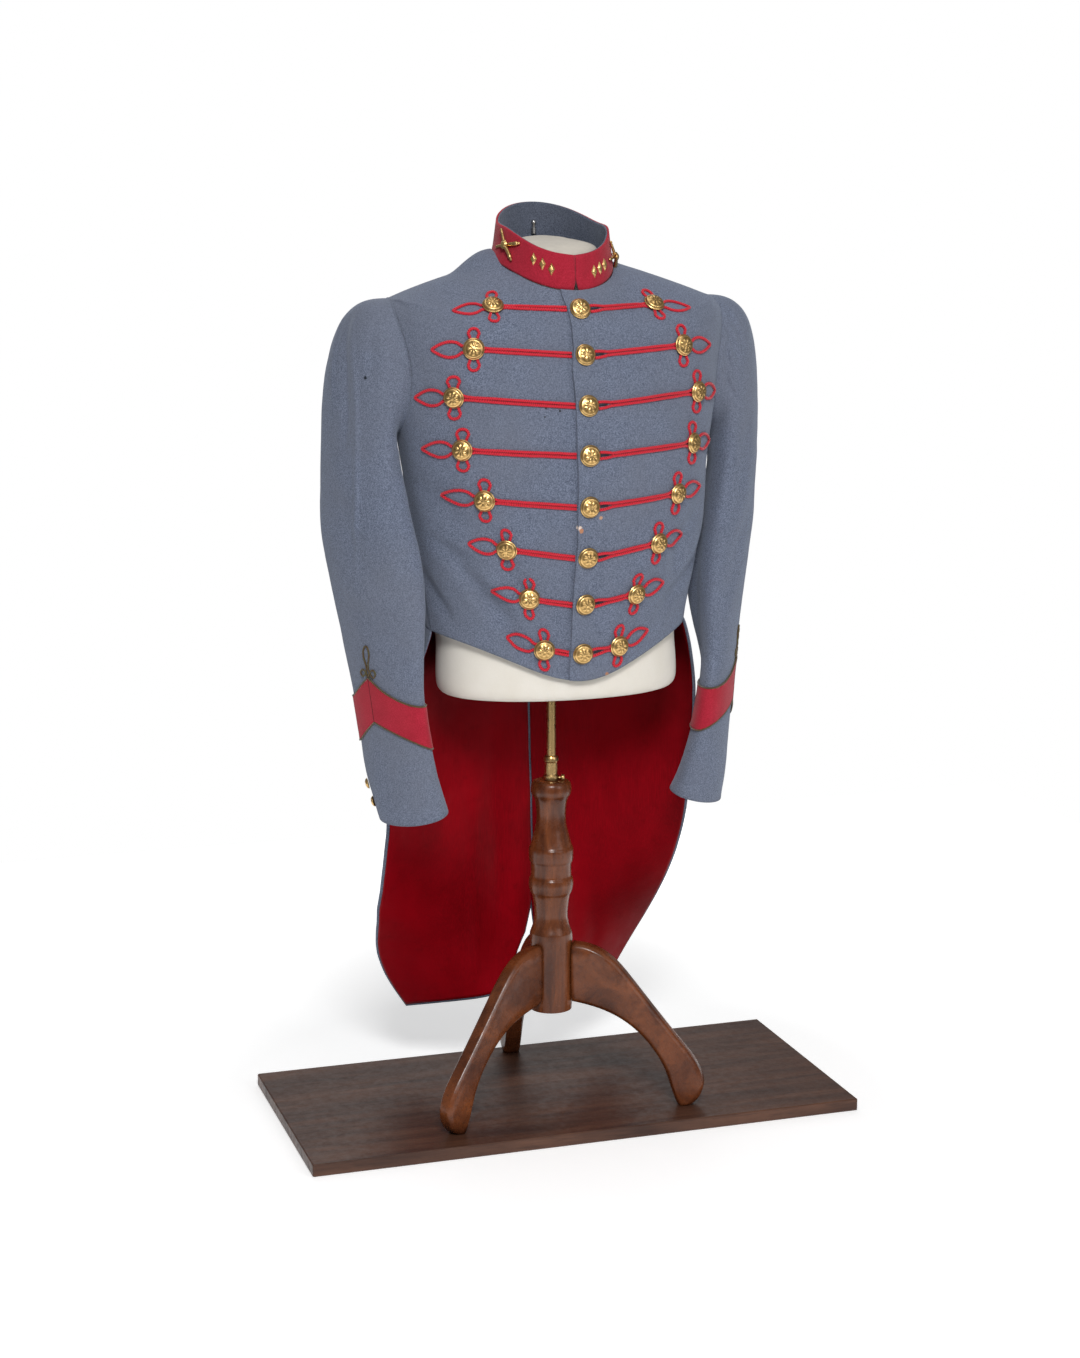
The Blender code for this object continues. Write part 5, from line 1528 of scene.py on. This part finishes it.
class MakeForm(bpy.types.Operator):
    """The limbless dress form"""
    bl_idname = "coatee.make_form"
    bl_label = "Dress form"

    def execute(self, context):
        colour = tuple(context.scene.coatee_stand.canvas_colour)
        form = grown_from_node("padded_form", "dress_form", SOLID_SMOOTHING, crease_angle=65.0)
        finished(form, canvas_finish("cotton_cover", colour), "cream_canvas", "dress_form")
        return {"FINISHED"}


class MakeStand(bpy.types.Operator):
    """Brass tube, turned column and three shaped legs"""
    bl_idname = "coatee.make_stand"
    bl_label = "Stand"

    def execute(self, context):
        stand = context.scene.coatee_stand
        wood = tuple(stand.wood_colour)
        tube_line = [(0.0, TUBE_TURNING[0][1])] + list(TUBE_TURNING) + [(0.0, TUBE_TURNING[-1][1])]
        tube = turned("telescopic_tube", tube_line, STAND_AXIS, 40)
        brass = brass_finish("dull_old_brass", tuple(stand.brass_colour), 0.26, 0.6, 0.6)
        finished(smooth_shaded(tube, 28.0), brass, "old_brass", "brass_tube")
        soft = spline_through([(radius, 0.0, height) for radius, height in COLUMN_TURNING], 0.0016)
        column_line = [(0.0, COLUMN_TURNING[0][1])] + [(place.x, place.z) for place in soft]
        column_line.append((0.0, COLUMN_TURNING[-1][1]))
        column = turned("turned_column", column_line, STAND_AXIS, 64)
        upright = wood_finish("varnished_column", wood, 60.0, 0.17, (1.0, 1.0, 0.10))
        finished(smooth_shaded(column, 38.0), upright, "varnished_wood", "column")
        leg_wood = wood_finish("varnished_leg", wood, 60.0, 0.20, (0.45, 0.45, 0.45))
        for word in ("left", "right", "back"):
            leg = grown_from_node("shaped_leg_" + word, "leg_" + word, SOLID_SMOOTHING,
                                  crease=0.75, crease_angle=35.0)
            finished(leg, leg_wood, "varnished_wood", "leg_" + word)
        self.make_screw(brass)
        return {"FINISHED"}

    def make_screw(self, brass):
        """A small thumbscrew at the foot of the tube's collar."""
        profile = [(0.0, 0.0), (0.0016, 0.0), (0.0016, 0.0030), (0.0034, 0.0034), (0.0038, 0.0042),
                   (0.0038, 0.0064), (0.0032, 0.0072), (0.0, 0.0074)]
        direction = Vector((0.92, -0.38, 0.0)).normalized()
        place = STAND_AXIS + Vector((0.0, 0.0, 0.4085)) + direction * 0.0086
        screw = turned("tube_screw", profile, place, 20, direction)
        finished(smooth_shaded(screw, 40.0), brass, "old_brass")


class MakePlank(bpy.types.Operator):
    """The dark base board"""
    bl_idname = "coatee.make_plank"
    bl_label = "Plank"

    def execute(self, context):
        colour = tuple(context.scene.coatee_stand.plank_colour)
        finish = wood_finish("dark_streaky_board", colour, 46.0, 0.34, (0.08, 1.0, 1.0), 0.8)
        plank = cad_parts["plank"]
        plank.data.materials.clear()
        plank.data.materials.append(finish)
        return {"FINISHED"}


class CoateePanel(bpy.types.Panel):
    """Lists the coatee's sizes, colours and pieces"""
    bl_idname = "VIEW3D_PT_coatee"
    bl_label = "Coatee"
    bl_space_type = "VIEW_3D"
    bl_region_type = "UI"
    bl_category = "Coatee"

    def draw(self, context):
        for group in (context.scene.coatee_cloth, context.scene.coatee_trim,
                      context.scene.coatee_stand, context.scene.coatee_stage):
            box = self.layout.box()
            for name in group.__annotations__:
                box.prop(group, name)
        for step in STEPS:
            self.layout.operator(step.bl_idname)


GROUPS = (
    ("coatee_cloth", CoateeCloth),
    ("coatee_trim", CoateeTrim),
    ("coatee_stand", CoateeStand),
    ("coatee_stage", CoateeStage),
)
STEPS = (MakeStage, MakeFronts, MakeBack, MakeSleeves, MakeCuffs, MakeTails, MakeCollar,
         MakeBraid, MakeButtons, MakeForm, MakeStand, MakePlank)


def register():
    for name, group in GROUPS:
        bpy.utils.register_class(group)
        setattr(bpy.types.Scene, name, bpy.props.PointerProperty(type=group))
    for step in STEPS:
        bpy.utils.register_class(step)
    bpy.utils.register_class(CoateePanel)


def unregister():
    bpy.utils.unregister_class(CoateePanel)
    for step in reversed(STEPS):
        bpy.utils.unregister_class(step)
    for name, group in reversed(GROUPS):
        delattr(bpy.types.Scene, name)
        bpy.utils.unregister_class(group)


def main():
    register()
    bpy.ops.coatee.make_stage()
    bpy.ops.coatee.make_fronts()
    bpy.ops.coatee.make_back()
    bpy.ops.coatee.make_sleeves()
    bpy.ops.coatee.make_cuffs()
    bpy.ops.coatee.make_tails()
    bpy.ops.coatee.make_collar()
    bpy.ops.coatee.make_braid()
    bpy.ops.coatee.make_buttons()
    bpy.ops.coatee.make_form()
    bpy.ops.coatee.make_stand()
    bpy.ops.coatee.make_plank()


if __name__ == "__main__":
    main()
